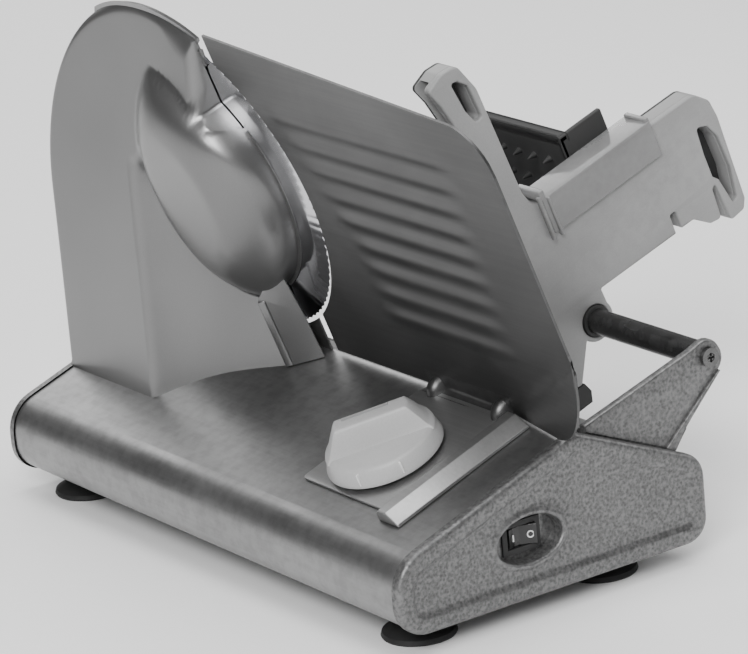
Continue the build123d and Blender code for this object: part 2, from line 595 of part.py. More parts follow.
def make_knob():
    section = Polyline((0, 0, KNOB_FOOT), (KNOB_R, 0, KNOB_FOOT), (KNOB_R - 0.4, 0, KNOB_FOOT + 3),
                       (KNOB_TOP_R, 0, 14), (0, 0, 14), close=True)
    disc = revolve(make_face(section), Axis.Z)
    block_face = [(-30, -9), (30, -9), (30, 30), (-30, 30)]
    grip = plan_prism(block_face, 13, 28) & revolve(
        make_face(Polyline((0, 0, 13), (KNOB_TOP_R, 0, 13), (20.5, 0, 28), (0, 0, 28), close=True)), Axis.Z)
    grip &= side_prism([(-9, 12), (-9, 14), (-5.5, 28), (7, 28), (27, 13), (27, 12)], -40, 40)
    grip -= block(-15, 10.5, 2.6, 5.4, 24, 30)
    knob = disc + grip
    knob = Pos(KNOB_X, KNOB_OUT, 0) * Rot(0, 0, GRIP_TURN) * knob
    wide = FOLLOWER_R + 0.5
    inner, outer = spiral(-wide), spiral(wide)
    edge = [Spline(*inner), Line(inner[-1], outer[-1]), Spline(*reversed(outer)), Line(outer[0], inner[0])]
    groove = Pos(0, 0, KNOB_FOOT - 1) * extrude(make_face(edge), 6.2)
    middle = spiral(0.0)
    for x, y in (middle[0], middle[-1]):
        groove += rod("z", wide, KNOB_FOOT - 1, KNOB_FOOT + 5.2, x, y)
    knob -= groove
    knob -= rod("z", 4.0, KNOB_FOOT - 1, 11, KNOB_X, KNOB_OUT)
    keep("thickness_knob", lean(knob))
    stem = rod("z", 4.0, -12.0, 11, KNOB_X, KNOB_OUT) - rod("z", 1.2, -13, -4, KNOB_X, KNOB_OUT)
    keep("knob_spindle", lean(stem))
    bush = rod("z", KNOB_BUSH_R, -2.2, 0.2, KNOB_X, KNOB_OUT) + rod("z", 11, -8, -2.2, KNOB_X, KNOB_OUT)
    bush -= rod("z", 4.06, -10, 2, KNOB_X, KNOB_OUT)
    keep("knob_bush", lean(bush))
    clip = rod("z", 8, -10.0, -8.4, KNOB_X, KNOB_OUT) - rod("z", 4.0, -12, -6, KNOB_X, KNOB_OUT)
    keep("knob_washer", lean(clip))


# ---- food carriage ------------------------------------------------------------------------
def fence_outline():
    """Outline of the fence in (out, up), from the near foot round by the table, handle and post."""
    return [(50, -3), (50, -42), (70.5, -43.5), (79.8, -18.4), (97.3, -10.6), (102.4, -3.5), (158, -3.8),
            (170, -4), (179, -12.3), (186.3, -13.6), (187.5, 4), (190, 6), (191.5, -18.5), (201.5, -17.5),
            (204.5, -12), (206.5, 38), (205, 49), (197, FENCE_TOP), (84.5, FENCE_TOP + 1.5), (80.5, 70),
            (79, 135), (73, 152.5), (63, 153), (52, 149), (56, 138), (58.5, 126), (59, 70), (40, 58), (8, 56), (8, -2)]


def fence_body(inset, x0, x1):
    rail_out, rail_up = rail_in_lean()
    face = Plane.YZ * (make_face(Polyline(*fence_outline(), close=True)) + Pos(rail_out, rail_up) * Circle(11.5))
    face = offset(face, -inset, kind=Kind.INTERSECTION) if inset else face
    return Pos(x0, 0, 0) * extrude(face, x1 - x0)


def make_carriage():
    outer_x, inner_x = FENCE_X, FENCE_X - FENCE_WIDE
    shell = fence_body(0, inner_x, outer_x)
    shell = chamfer(shell.faces().sort_by(Axis.X)[-1].edges(), 0.9)
    skin = 2.2
    shell -= fence_body(skin, inner_x - 1, outer_x - skin)
    rail_out, rail_up = rail_in_lean()
    shell += rod("x", 10.8, inner_x, outer_x, rail_out, rail_up)
    shell -= rod("x", 8.4, inner_x - 1, outer_x + 1, rail_out, rail_up)
    depth = (outer_x - 4, outer_x + 1)
    slot = side_prism([(191.8, 40), (198.4, 36.5), (201, 28), (201, 10), (197, -6), (192.5, 6), (190.2, 24)], *depth)
    notch = side_prism([(157, -6), (162.5, -6), (162.5, 6), (158, 6)], *depth)
    window = side_prism([(66.5, 143), (69.4, 144), (71.5, 138), (71.3, 123), (68.5, 127)], *depth)
    mouth = block(inner_x + 2.4, outer_x - 4.2, 40, 64, 122, 152) & fence_body(0.01, inner_x, outer_x)
    shell -= slot + notch + window
    shell -= mouth
    keep("carriage_fence", lean(largest(shell)))
    liner = fence_body(skin + 0.2, inner_x, inner_x + 1.6)
    liner -= rod("x", 10.8, inner_x - 1, outer_x + 1, rail_out, rail_up)
    liner -= block(inner_x - 1, outer_x, 40, 66, 118, 160)
    keep("fence_inner_panel", lean(largest(liner)))

    near, far = 6.0, 196.0
    table = block(TABLE_LEFT, inner_x - 0.2, near, far, -1.5, 0.5)
    table += block(TABLE_LEFT, inner_x - 0.2, far - 2, far, -5, 0.5)
    table += block(TABLE_LEFT, TABLE_LEFT + 2, 20, far, -5, 0.5)
    table += block(inner_x - 2.2, inner_x - 0.2, 20, far, -5, 0.5)
    for k in range(9):
        out = 24 + 18 * k
        table += block(TABLE_LEFT + 8, inner_x - 8, out - 2.5, out + 2.5, 0.5, 1.3)
    keep("carriage_table", lean(table))

    bush = block(50, 67.5, rail_out - 12, rail_out + 12, rail_up - 11, -1.6)
    bush += rod("x", 8.4, 50, FENCE_X + 1.0, rail_out, rail_up)
    bush -= rod("x", RAIL_R + 0.06, 40, 100, rail_out, rail_up)
    keep("rail_bush_right", lean(bush))
    bush = block(-20, -4, rail_out - 12, rail_out + 12, rail_up - 11, -1.6)
    bush -= rod("x", RAIL_R + 0.06, -40, 100, rail_out, rail_up)
    keep("rail_bush_left", lean(bush))
    pad = side_prism([(57.5, -44.2), (72.2, -44.2), (74.4, -50), (72.5, -56), (60.5, -56), (57.5, -53)],
                     inner_x + 1, outer_x - 1)
    keep("slide_pad", lean(pad))
    screws = []
    for x in (58, -12):
        for side in (-9.4, 9.4):
            spot = (x, rail_out + side)
            screws.append(rod("z", 1.2, -8, 0.5, *spot) + rod("z", 2.4, 0.5, 1.5, *spot))
    for name in ("carriage_table", "rail_bush_left", "rail_bush_right"):
        piece = NODES[name]
        for x in (58, -12):
            for side in (-9.4, 9.4):
                piece -= lean(rod("z", 1.2, -8.5, 1.4, x, rail_out + side))
        if name == "carriage_table":
            for x in (58, -12):
                for side in (-9.4, 9.4):
                    piece -= lean(rod("z", 2.5, 0.5, 3, x, rail_out + side))
        keep(name, piece)
    keep("carriage_screws", lean(Compound(screws)))


def rail_in_lean():
    """The rail's axis as (out, up)."""
    a = radians(LEAN)
    dy, dz = RAIL_Y - RIDGE_Y, RAIL_Z - RIDGE_Z
    return dy * cos(a) + dz * sin(a), -dy * sin(a) + dz * cos(a)


def make_pusher():
    """The food pusher: a saddle on the fence's top edge, and the toothed plate that it carries."""
    gap = 0.4
    top = FENCE_TOP + 1.7
    x0, x1 = FENCE_X - FENCE_WIDE, FENCE_X
    out0, out1 = 88.0, 165.0
    saddle = block(x0 - gap - 2, x1 + gap + 2, out0, out1, top + gap, top + gap + 2.2)
    saddle += block(x1 + gap, x1 + gap + 2, out0, out1, 39, top + gap + 2.2)
    saddle += block(x0 - gap - 2, x0 - gap, out0, out1, 39, top + gap + 2.2)
    saddle += block(x0 - gap - 2, x1 + gap + 2, out0, out0 + 3, top + gap, top + 8)
    saddle += block(x1 + gap, x1 + gap + 3.4, out0 - 3, out0, 40, top + 6)
    keep("pusher_clip", lean(saddle))
    plate_out = 122.0
    plate = block(-45, x0 - gap - 2.1, plate_out, plate_out + 3, 4, 74)
    plate = fillet(plate.edges().filter_by(Axis.Y), 5)
    spikes = []
    for i in range(8):
        for j in range(4):
            spot = (-35 + 13 * i, 16 + 15 * j)
            cone = Rot(90, 0, 0) * Cone(1.8, 0.4, 5)
            spikes.append(Pos(spot[0], plate_out - 2.5, spot[1]) * cone)
    keep("pusher_spikes", lean(Compound(spikes)))
    plate += block(x0 - gap - 20, x0 - gap - 2.1, plate_out + 3, plate_out + 30, 42, 46)
    plate += block(x0 - gap - 5, x0 - gap - 2.1, plate_out, plate_out + 30, 40, 74)
    keep("pusher_plate", lean(plate))


def make_deflector():
    """The upright plate that throws the slices clear, under the dome beside the foot of the blade."""
    sheet = plan_prism([(-37.8, -21.4), (-36.8, -22.4), (-21.5, -7.4), (-22.5, -6.4)], 0.3, 58)
    sheet += plan_prism([(-37.8, -21.4), (-36.8, -22.4), (-26.5, -12.3), (-27.5, -11.3)], 0.3, 6)
    sheet -= rod("y", DOME_R + 0.4, -40, 2, BLADE_X, BLADE_UP)
    sheet -= rod("y", BLADE_R + 1.5, -6.8, 2, BLADE_X, BLADE_UP)
    keep("slice_deflector", lean(largest(sheet)))


def build():
    make_base()
    make_end_cap(1)
    make_end_cap(-1)
    make_feet()
    make_switch_and_gland()
    make_rail()
    make_housing()
    make_drive()
    make_guide()
    make_knob()
    make_carriage()
    make_pusher()
    make_deflector()


def centre_shift():
    """Moves the origin to the middle of the underside of the whole machine's box."""
    boxes = [shape.bounding_box() for shape in NODES.values()]
    low_x, high_x = min(b.min.X for b in boxes), max(b.max.X for b in boxes)
    low_y, high_y = min(b.min.Y for b in boxes), max(b.max.Y for b in boxes)
    return -(low_x + high_x) / 2, -(low_y + high_y) / 2


build()
SHIFT = centre_shift()
for node, shape in NODES.items():
    export_step(Pos(SHIFT[0], SHIFT[1], 0) * shape, f"parts/{node}.step")
print("pieces", len(NODES), "shift", SHIFT)
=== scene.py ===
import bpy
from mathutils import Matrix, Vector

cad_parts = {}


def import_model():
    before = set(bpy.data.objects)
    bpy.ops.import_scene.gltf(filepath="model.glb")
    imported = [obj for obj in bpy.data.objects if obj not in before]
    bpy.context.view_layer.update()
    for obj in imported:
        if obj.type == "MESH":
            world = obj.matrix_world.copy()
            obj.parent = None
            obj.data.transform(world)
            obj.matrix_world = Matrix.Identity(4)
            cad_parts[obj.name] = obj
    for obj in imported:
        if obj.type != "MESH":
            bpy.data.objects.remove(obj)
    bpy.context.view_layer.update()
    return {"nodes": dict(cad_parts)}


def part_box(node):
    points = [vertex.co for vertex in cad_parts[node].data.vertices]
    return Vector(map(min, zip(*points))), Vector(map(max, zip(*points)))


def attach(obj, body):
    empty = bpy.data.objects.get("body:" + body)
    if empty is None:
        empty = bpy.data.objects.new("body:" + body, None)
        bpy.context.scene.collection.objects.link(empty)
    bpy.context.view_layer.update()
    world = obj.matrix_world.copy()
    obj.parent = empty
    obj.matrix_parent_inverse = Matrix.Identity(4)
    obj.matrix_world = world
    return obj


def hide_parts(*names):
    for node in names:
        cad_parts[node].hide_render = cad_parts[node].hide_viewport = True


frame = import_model()

from math import atan2, cos, exp, hypot, pi, radians, sin, sqrt

import bmesh
import bpy
from bpy.props import FloatProperty, IntProperty, PointerProperty
from mathutils import Matrix, Vector

bl_info = {
    "name": "Deli Slicer Looks",
    "version": (1, 0, 0),
    "blender": (4, 5, 0),
    "location": "3D View > Sidebar > Slicer",
    "description": "Builds the skins, finishes and studio of a small deli slicer round its packed model",
    "category": "Object",
}

# ---- the frame of the machine ---------------------------------------------------------------
MM = 0.001
LEAN = radians(19.5)             # the blade plane leans by this much
RIDGE_FROM_MIDDLE = (16.7, 88.1)  # the base's ridge, in y and z millimetres
BASE_LOW, BASE_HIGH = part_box("base_shell")
MIDDLE = Vector(((BASE_LOW.x + BASE_HIGH.x) / 2, (BASE_LOW.y + BASE_HIGH.y) / 2, 0))
FLAT = Matrix.Translation(MIDDLE) @ Matrix.Scale(MM, 4)
TILT = FLAT @ Matrix.Translation((0, *RIDGE_FROM_MIDDLE)) @ Matrix.Rotation(LEAN, 4, "X")

BLADE_X, BLADE_UP, BLADE_R = -73.0, 104.4, 95.0
ARC_UP, ARC_R = 97.0, 109.0
LEFT_EDGE, CORNER_X, RIGHT_EDGE = -182.0, -96.0, -24.0
FLANK_END = -38.5                # where the housing's flank meets the deflector
FRONT_LOW, FRONT_RATE = 74.8, 0.354
DOME_FACE = 33.0
KNOB = (98.0, -56.0)
RAIL = (92.35, -17.2)            # the rail's axis as (out, up)
FENCE_X, FENCE_WIDE = 85.0, 15.0
RAIL_WORLD = (109.5, 102.7)      # the same axis from the base's middle, as (y, z)
BOSS_R, RAIL_HOLE_R = 11.5, 8.7  # the fence's boss round the rail, and its hole
HALF, CAP = 185.0, 6.0           # half the base's length, and the thickness of an end cap
FRONT_FALL, REAR_FALL = 0.3541, 0.4348  # slopes of the base's top before and behind the ridge
SKIN_RINGS = 64                  # rings of points across the housing's face
GRIP_FOOT, GRIP_TOP = 13.0, 28.0


def tilted(x, out, up):
    """A point of the leaning frame in the world, in metres."""
    return TILT @ Vector((x, out, up))


# ---- mesh helpers ---------------------------------------------------------------------------
def smoothstep(a, b, t):
    t = min(1.0, max(0.0, (t - a) / (b - a)))
    return t * t * (3 - 2 * t)


def blend_max(a, b, k):
    """The larger of two heights, with a fillet of about k where they cross."""
    h = max(0.0, k - abs(a - b)) / k
    return max(a, b) + h * h * k / 4


def shade(mesh, angle=34):
    """Smooth shading that stays crisp at edges sharper than the angle."""
    bm = bmesh.new()
    bm.from_mesh(mesh)
    for face in bm.faces:
        face.smooth = True
    for edge in bm.edges:
        edge.smooth = not edge.is_manifold or edge.calc_face_angle(0) < radians(angle)
    bm.to_mesh(mesh)
    bm.free()


def piece(name, mesh, matrix, material, body, stands_for=(), angle=34):
    """Puts a finished mesh in its place and hands it to the frame."""
    mesh.transform(matrix)
    if matrix.determinant() < 0:
        mesh.flip_normals()
    mesh.materials.clear()
    mesh.materials.append(finish(material))
    shade(mesh, angle)
    obj = bpy.data.objects.new(name, mesh)
    bpy.context.scene.collection.objects.link(obj)
    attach(obj, body)
    if stands_for:
        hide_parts(*stands_for)
    return obj


def from_points(name, points, faces):
    mesh = bpy.data.meshes.new(name)
    mesh.from_pydata([tuple(p) for p in points], [], faces)
    mesh.validate()
    return mesh


def evaluated(obj):
    """The plain mesh of an object with its modifiers, which it then loses along with itself."""
    graph = bpy.context.evaluated_depsgraph_get()
    mesh = bpy.data.meshes.new_from_object(obj.evaluated_get(graph), depsgraph=graph)
    old = obj.data
    bpy.data.objects.remove(obj)
    if old.users == 0 and isinstance(old, bpy.types.Mesh):
        bpy.data.meshes.remove(old)
    return mesh


def modified(mesh, *steps):
    """Runs modifiers, each (type, settings), over a mesh and returns the result."""
    obj = bpy.data.objects.new("work", mesh)
    bpy.context.scene.collection.objects.link(obj)
    for kind, settings in steps:
        modifier = obj.modifiers.new(kind, kind)
        for key, value in settings.items():
            setattr(modifier, key, value)
    return evaluated(obj)


def joined(*meshes):
    """One mesh out of several."""
    bm = bmesh.new()
    for mesh in meshes:
        bm.from_mesh(mesh)
    result = bpy.data.meshes.new("joined")
    bm.to_mesh(result)
    bm.free()
    return result


def rounded(corners, steps=6):
    """A closed outline through corners (a, b, radius), with arcs in place of the corners."""
    out = []
    count = len(corners)
    for i, (x, y, r) in enumerate(corners):
        here = Vector((x, y))
        before = (Vector(corners[i - 1][:2]) - here).normalized()
        after = (Vector(corners[(i + 1) % count][:2]) - here).normalized()
        half = before.angle(after) / 2
        if r < 0.05 or half > 1.55:
            out.append((x, y))
            continue
        reach = r / max(0.05, sin(half)) * cos(half)
        centre = here + (before + after).normalized() * (r / sin(half))
        start, end = here + before * reach, here + after * reach
        a0 = atan2(*(start - centre).yx)
        turn = (atan2(*(end - centre).yx) - a0 + pi) % (2 * pi) - pi
        for k in range(steps + 1):
            a = a0 + turn * k / steps
            out.append((centre.x + r * cos(a), centre.y + r * sin(a)))
    return out


def slab(outline, low, high, bevel, holes=(), round_steps=3):
    """A plate from an outline with holes, its edges rounded; outline in local x, y and thickness in z."""
    curve = bpy.data.curves.new("slab", "CURVE")
    curve.dimensions = "2D"
    curve.fill_mode = "BOTH"
    for loop in (outline, *holes):
        spline = curve.splines.new("POLY")
        spline.points.add(len(loop) - 1)
        for point, (x, y) in zip(spline.points, loop):
            point.co = (x, y, 0, 1)
        spline.use_cyclic_u = True
    curve.extrude = (high - low) / 2 - bevel
    curve.bevel_depth = bevel
    curve.offset = -bevel
    curve.bevel_resolution = round_steps
    obj = bpy.data.objects.new("slab", curve)
    bpy.context.scene.collection.objects.link(obj)
    mesh = evaluated(obj)
    mesh.transform(Matrix.Translation((0, 0, (low + high) / 2)))
    return cleaned(mesh)


def cleaned(mesh, gap=1e-4):
    """Merges doubles and points the faces outwards."""
    bm = bmesh.new()
    bm.from_mesh(mesh)
    bmesh.ops.remove_doubles(bm, verts=bm.verts, dist=gap)
    bmesh.ops.dissolve_degenerate(bm, edges=bm.edges, dist=gap)
    bmesh.ops.recalc_face_normals(bm, faces=bm.faces)
    bm.to_mesh(mesh)
    bm.free()
    return mesh


def brick(low, high, bevel=0.6, segments=3):
    """A block between two corners with rounded edges."""
    bm = bmesh.new()
    bmesh.ops.create_cube(bm, size=1)
    size = Vector(high) - Vector(low)
    bmesh.ops.scale(bm, vec=size, verts=bm.verts)
    bmesh.ops.translate(bm, vec=(Vector(high) + Vector(low)) / 2, verts=bm.verts)
    if bevel:
        bmesh.ops.bevel(bm, geom=bm.edges, offset=bevel, segments=segments, profile=0.5, affect="EDGES")
    mesh = bpy.data.meshes.new("brick")
    bm.to_mesh(mesh)
    bm.free()
    return mesh


def lathe(profile, steps=96):
    """A solid of revolution about local z from (radius, z) points."""
    points, faces = [], []
    for k in range(steps):
        a = 2 * pi * k / steps
        points += [(r * cos(a), r * sin(a), z) for r, z in profile]
    n = len(profile)
    for k in range(steps):
        j = (k + 1) % steps
        for i in range(n - 1):
            faces.append((k * n + i, j * n + i, j * n + i + 1, k * n + i + 1))
    return cleaned(from_points("lathe", points, faces))


def rings(loops, closed_end=False):
    """Skins a list of equally long closed loops, and caps the last with a fan where asked."""
    n = len(loops[0])
    points = [p for loop in loops for p in loop]
    faces = []
    for i in range(len(loops) - 1):
        for k in range(n):
            j = (k + 1) % n
            faces.append((i * n + k, i * n + j, (i + 1) * n + j, (i + 1) * n + k))
    if closed_end:
        last = loops[-1]
        points.append(sum((Vector(p) for p in last), Vector()) / n)
        base = (len(loops) - 1) * n
        faces += [(base + k, base + (k + 1) % n, len(points) - 1) for k in range(n)]
    return from_points("rings", points, faces)


# ---- shader groups --------------------------------------------------------------------------
def group(name, inputs, outputs):
    """A new shader node group: a Vector input, further inputs by name and default, and number outputs."""
    tree = bpy.data.node_groups.new(name, "ShaderNodeTree")
    tree.interface.new_socket(name="Vector", in_out="INPUT", socket_type="NodeSocketVector")
    for label, default in inputs.items():
        kind = "NodeSocketVector" if isinstance(default, tuple) else "NodeSocketFloat"
        tree.interface.new_socket(name=label, in_out="INPUT", socket_type=kind).default_value = default
    for label in outputs:
        tree.interface.new_socket(name=label, in_out="OUTPUT", socket_type="NodeSocketFloat")
    return tree, tree.nodes.new("NodeGroupInput"), tree.nodes.new("NodeGroupOutput")


def node(tree, kind, links=(), **settings):
    """Adds a node; links are (input name or number, socket or value)."""
    made = tree.nodes.new(kind)
    for key, value in settings.items():
        setattr(made, key, value)
    for where, what in links:
        if isinstance(what, bpy.types.NodeSocket):
            tree.links.new(what, made.inputs[where])
        else:
            made.inputs[where].default_value = what
    return made


def calc(tree, operation, a, b=0.0, clamp=False):
    """A maths node's result."""
    return node(tree, "ShaderNodeMath", [(0, a), (1, b)], operation=operation, use_clamp=clamp).outputs[0]


def remap(tree, value, low, high, to_low=0.0, to_high=1.0):
    made = node(tree, "ShaderNodeMapRange", [(0, value), (1, low), (2, high), (3, to_low), (4, to_high)])
    return made.outputs[0]


def cloudy(tree, vector, scale, detail, *more):
    """A noise texture; more holds any further (input, value)."""
    links = [("Vector", vector), ("Scale", scale), ("Detail", detail), *more]
    return node(tree, "ShaderNodeTexNoise", links)


def grain_group():
    """Fine moulded or satin grain over broad unevenness: a tone factor about 1 and a height."""
    tree, given, result = group("Grain", {"Scale": 900.0, "Broad": 18.0, "Tone": 0.08}, ["Tone", "Height"])
    fine = cloudy(tree, given.outputs[0], given.outputs[1], 3.0)
    broad = cloudy(tree, given.outputs[0], given.outputs[2], 2.0)
    both = calc(tree, "ADD", calc(tree, "MULTIPLY", fine.outputs[0], 0.5), broad.outputs[0])
    swing = calc(tree, "MULTIPLY", calc(tree, "SUBTRACT", both, 0.75), given.outputs[3])
    tree.links.new(calc(tree, "ADD", calc(tree, "MULTIPLY", swing, 2.0), 1.0), result.inputs[0])
    tree.links.new(fine.outputs[0], result.inputs[1])
    return tree


def brush_group():
    """Long fine strokes, as brushing or rolling leaves them; Stretch squeezes them across."""
    tree, given, result = group("Brush Strokes", {"Stretch": (6.0, 900.0, 900.0)}, ["Tone", "Height"])
    squeezed = node(tree, "ShaderNodeVectorMath", [(0, given.outputs[0]), (1, given.outputs[1])],
                    operation="MULTIPLY")
    noise = cloudy(tree, squeezed.outputs[0], 1.0, 5.0, ("Roughness", 0.65))
    tree.links.new(remap(tree, noise.outputs[0], 0.3, 0.7), result.inputs[0])
    tree.links.new(noise.outputs[0], result.inputs[1])
    return tree


def hammer_group():
    """Hammered lacquer: rounded cells with flecks of lighter pigment between them."""
    tree, given, result = group("Hammer Tone", {"Scale": 620.0}, ["Fleck", "Height"])
    wobble = cloudy(tree, given.outputs[0], 240.0, 2.0)
    bent = node(tree, "ShaderNodeVectorMath", [(0, wobble.outputs["Color"]), (1, (0.0016, 0.0016, 0.0016))],
                operation="MULTIPLY")
    moved = node(tree, "ShaderNodeVectorMath", [(0, given.outputs[0]), (1, bent.outputs[0])], operation="ADD")
    cells = node(tree, "ShaderNodeTexVoronoi", [("Vector", moved.outputs[0]), ("Scale", given.outputs[1])],
                 feature="SMOOTH_F1")
    noise = cloudy(tree, given.outputs[0], given.outputs[1], 4.0, ("Roughness", 0.7))
    spots = remap(tree, calc(tree, "MULTIPLY", noise.outputs[0], calc(tree, "ADD", cells.outputs[0], 0.55)),
                  0.30, 0.66)
    tree.links.new(spots, result.inputs[0])
    tree.links.new(calc(tree, "SUBTRACT", 1.0, cells.outputs[0]), result.inputs[1])
    return tree


def wear_group():
    """Where handling has polished the edges: sharp convex places, broken up by noise."""
    tree, given, result = group("Edge Wear", {"Amount": 0.5}, ["Mask"])
    shape = node(tree, "ShaderNodeNewGeometry")
    edge = remap(tree, shape.outputs["Pointiness"], 0.515, 0.58)
    noise = cloudy(tree, given.outputs[0], 160.0, 4.0)
    broken = remap(tree, noise.outputs[0], 0.35, 0.6)
    tree.links.new(calc(tree, "MULTIPLY", calc(tree, "MULTIPLY", edge, broken), given.outputs[1], True),
                   result.inputs[0])
    return tree


def smudge_group():
    """Soft cloudy change in gloss, from cleaning and fingers."""
    tree, given, result = group("Smudge", {"Low": 0.3, "High": 0.45, "Scale": 22.0}, ["Roughness"])
    noise = cloudy(tree, given.outputs[0], given.outputs[3], 4.0, ("Distortion", 0.6))
    tree.links.new(remap(tree, noise.outputs[0], 0.3, 0.7, given.outputs[1], given.outputs[2]),
                   result.inputs[0])
    return tree


GROUP_MAKERS = {"Grain": grain_group, "Brush Strokes": brush_group, "Hammer Tone": hammer_group,
                "Edge Wear": wear_group, "Smudge": smudge_group}


def use_group(tree, name, vector, **values):
    """Places a shared group in a material, building it the first time."""
    shared = bpy.data.node_groups.get(name) or GROUP_MAKERS[name]()
    made = tree.nodes.new("ShaderNodeGroup")
    made.node_tree = shared
    tree.links.new(vector, made.inputs["Vector"])
    for key, value in values.items():
        made.inputs[key].default_value = value
    return made


# ---- finishes -------------------------------------------------------------------------------
def begin(name):
    """A new material with its Principled shader and its Object coordinates."""
    material = bpy.data.materials.new(name)
    material.use_nodes = True
    tree = material.node_tree
    shader = tree.nodes["Principled BSDF"]
    vector = tree.nodes.new("ShaderNodeTexCoord").outputs["Object"]
    return material, tree, shader, vector


def tint(tree, shader, colour, factor, swing=(0.8, 1.2), worn=None, wear_mask=None):
    """Base colour from a plain colour, lightened and darkened by a factor, with worn edges on top."""
    dark = tuple(c * swing[0] for c in colour) + (1,)
    light = tuple(min(1.0, c * swing[1]) for c in colour) + (1,)
    mixed = node(tree, "ShaderNodeMix", [(0, factor), (6, dark), (7, light)], data_type="RGBA")
    out = mixed.outputs[2]
    if worn:
        out = node(tree, "ShaderNodeMix", [(0, wear_mask), (6, out), (7, worn + (1,))],
                   data_type="RGBA").outputs[2]
    tree.links.new(out, shader.inputs["Base Color"])


def gloss(tree, shader, vector, **values):
    """Cloudy roughness between Low and High."""
    smudge = use_group(tree, "Smudge", vector, **values)
    tree.links.new(smudge.outputs[0], shader.inputs["Roughness"])


def bump(tree, shader, height, strength, distance):
    made = node(tree, "ShaderNodeBump", [("Height", height), ("Strength", strength), ("Distance", distance)])
    tree.links.new(made.outputs[0], shader.inputs["Normal"])


def grey(level, warm=0.0):
    return (level + warm, level, level - warm)


def metal_sheet(name, level, low, high, stretch, wear=0.35, broad=14.0):
    """Brushed or rolled sheet metal."""
    material, tree, shader, vector = begin(name)
    strokes = use_group(tree, "Brush Strokes", vector, Stretch=stretch)
    cloud = use_group(tree, "Grain", vector, Scale=700.0, Broad=broad, Tone=0.5)
    mixed = calc(tree, "MULTIPLY", calc(tree, "ADD", strokes.outputs[0],
                                        calc(tree, "SUBTRACT", cloud.outputs[0], 0.5)), 0.5)
    worn = use_group(tree, "Edge Wear", vector, Amount=wear)
    tint(tree, shader, grey(level), mixed, (0.84, 1.14), grey(min(0.9, level * 1.5)), worn.outputs[0])
    gloss(tree, shader, vector, Low=low, High=high)
    shader.inputs["Metallic"].default_value = 0.92
    bump(tree, shader, strokes.outputs[1], 0.10, 0.0002)
    return material


def bronze():
    material = metal_sheet("bronze", 0.4, 0.35, 0.5, (600.0, 600.0, 600.0))
    shader = material.node_tree.nodes["Principled BSDF"]
    link = shader.inputs["Base Color"].links[0]
    warm = node(material.node_tree, "ShaderNodeMix", [(0, 1.0), (6, link.from_socket),
            (7, (1.0, 0.72, 0.38, 1))],
                data_type="RGBA", blend_type="MULTIPLY")
    material.node_tree.links.new(warm.outputs[2], shader.inputs["Base Color"])
    return material


def hammered():
    """Silver hammer lacquer on a casting."""
    material, tree, shader, vector = begin("hammered")
    level = bpy.context.scene.slicer_finish.casting_tone
    cells = use_group(tree, "Hammer Tone", vector, Scale=560.0)
    worn = use_group(tree, "Edge Wear", vector, Amount=0.75)
    tint(tree, shader, grey(level), cells.outputs[0], (0.62, 1.35), grey(min(0.9, level * 1.7)),
         worn.outputs[0])
    gloss(tree, shader, vector, Low=0.36, High=0.5)
    shader.inputs["Metallic"].default_value = 0.7
    bump(tree, shader, cells.outputs[1], 0.42, 0.0005)
    return material


def lacquer():
    """Smooth silver lacquer with fine metal flake under a thin clear coat."""
    material, tree, shader, vector = begin("lacquer")
    level = bpy.context.scene.slicer_finish.lacquer_tone
    flake = use_group(tree, "Grain", vector, Scale=2600.0, Broad=7.0, Tone=0.6)
    factor = remap(tree, flake.outputs[0], 0.7, 1.3)
    worn = use_group(tree, "Edge Wear", vector, Amount=0.25)
    tint(tree, shader, grey(level), factor, (0.88, 1.12), grey(min(0.9, level * 1.4)), worn.outputs[0])
    gloss(tree, shader, vector, Low=0.30, High=0.38, Scale=12.0)
    shader.inputs["Metallic"].default_value = 0.8
    shader.inputs["Coat Weight"].default_value = 0.25
    shader.inputs["Coat Roughness"].default_value = 0.12
    bump(tree, shader, flake.outputs[1], 0.05, 0.0002)
    return material


def blade_steel():
    """Ground blade steel, with rings round the blade's own axis."""
    material, tree, shader, vector = begin("blade_steel")
    centre = tilted(BLADE_X, 0, BLADE_UP)
    place = node(tree, "ShaderNodeMapping", [("Vector", vector), ("Location", tuple(-centre))],
                 vector_type="POINT")
    turned = node(tree, "ShaderNodeVectorRotate", [("Vector", place.outputs[0]), ("Axis", (1, 0, 0)),
                                                   ("Angle", -LEAN)])
    split = node(tree, "ShaderNodeSeparateXYZ", [(0, turned.outputs[0])])
    squares = calc(tree, "ADD", calc(tree, "POWER", split.outputs[0], 2.0),
                   calc(tree, "POWER", split.outputs[2], 2.0))
    radius = calc(tree, "SQRT", squares)
    joint = node(tree, "ShaderNodeCombineXYZ", [(0, calc(tree, "MULTIPLY", radius, 2400.0))])
    ringed = cloudy(tree, joint.outputs[0], 1.0, 4.0)
    factor = remap(tree, ringed.outputs[0], 0.3, 0.7)
    tint(tree, shader, grey(0.13), factor, (0.8, 1.18))
    gloss(tree, shader, vector, Low=0.18, High=0.30, Scale=30.0)
    shader.inputs["Metallic"].default_value = 1.0
    bump(tree, shader, ringed.outputs[0], 0.12, 0.0002)
    return material


def plastic(name, level, low, high, grain=1100.0, depth=0.12, wear=0.3, specular=0.5):
    """Moulded plastic with a fine spark-eroded grain and slightly polished edges."""
    material, tree, shader, vector = begin(name)
    tone = use_group(tree, "Grain", vector, Scale=grain, Broad=16.0, Tone=0.5)
    worn = use_group(tree, "Edge Wear", vector, Amount=wear)
    factor = remap(tree, tone.outputs[0], 0.7, 1.3)
    tint(tree, shader, grey(level), factor, (0.88, 1.12), grey(min(0.9, level * 1.35 + 0.02)),
         worn.outputs[0])
    gloss(tree, shader, vector, Low=low, High=high)
    shader.inputs["Specular IOR Level"].default_value = specular
    bump(tree, shader, tone.outputs[1], depth, 0.0002)
    return material


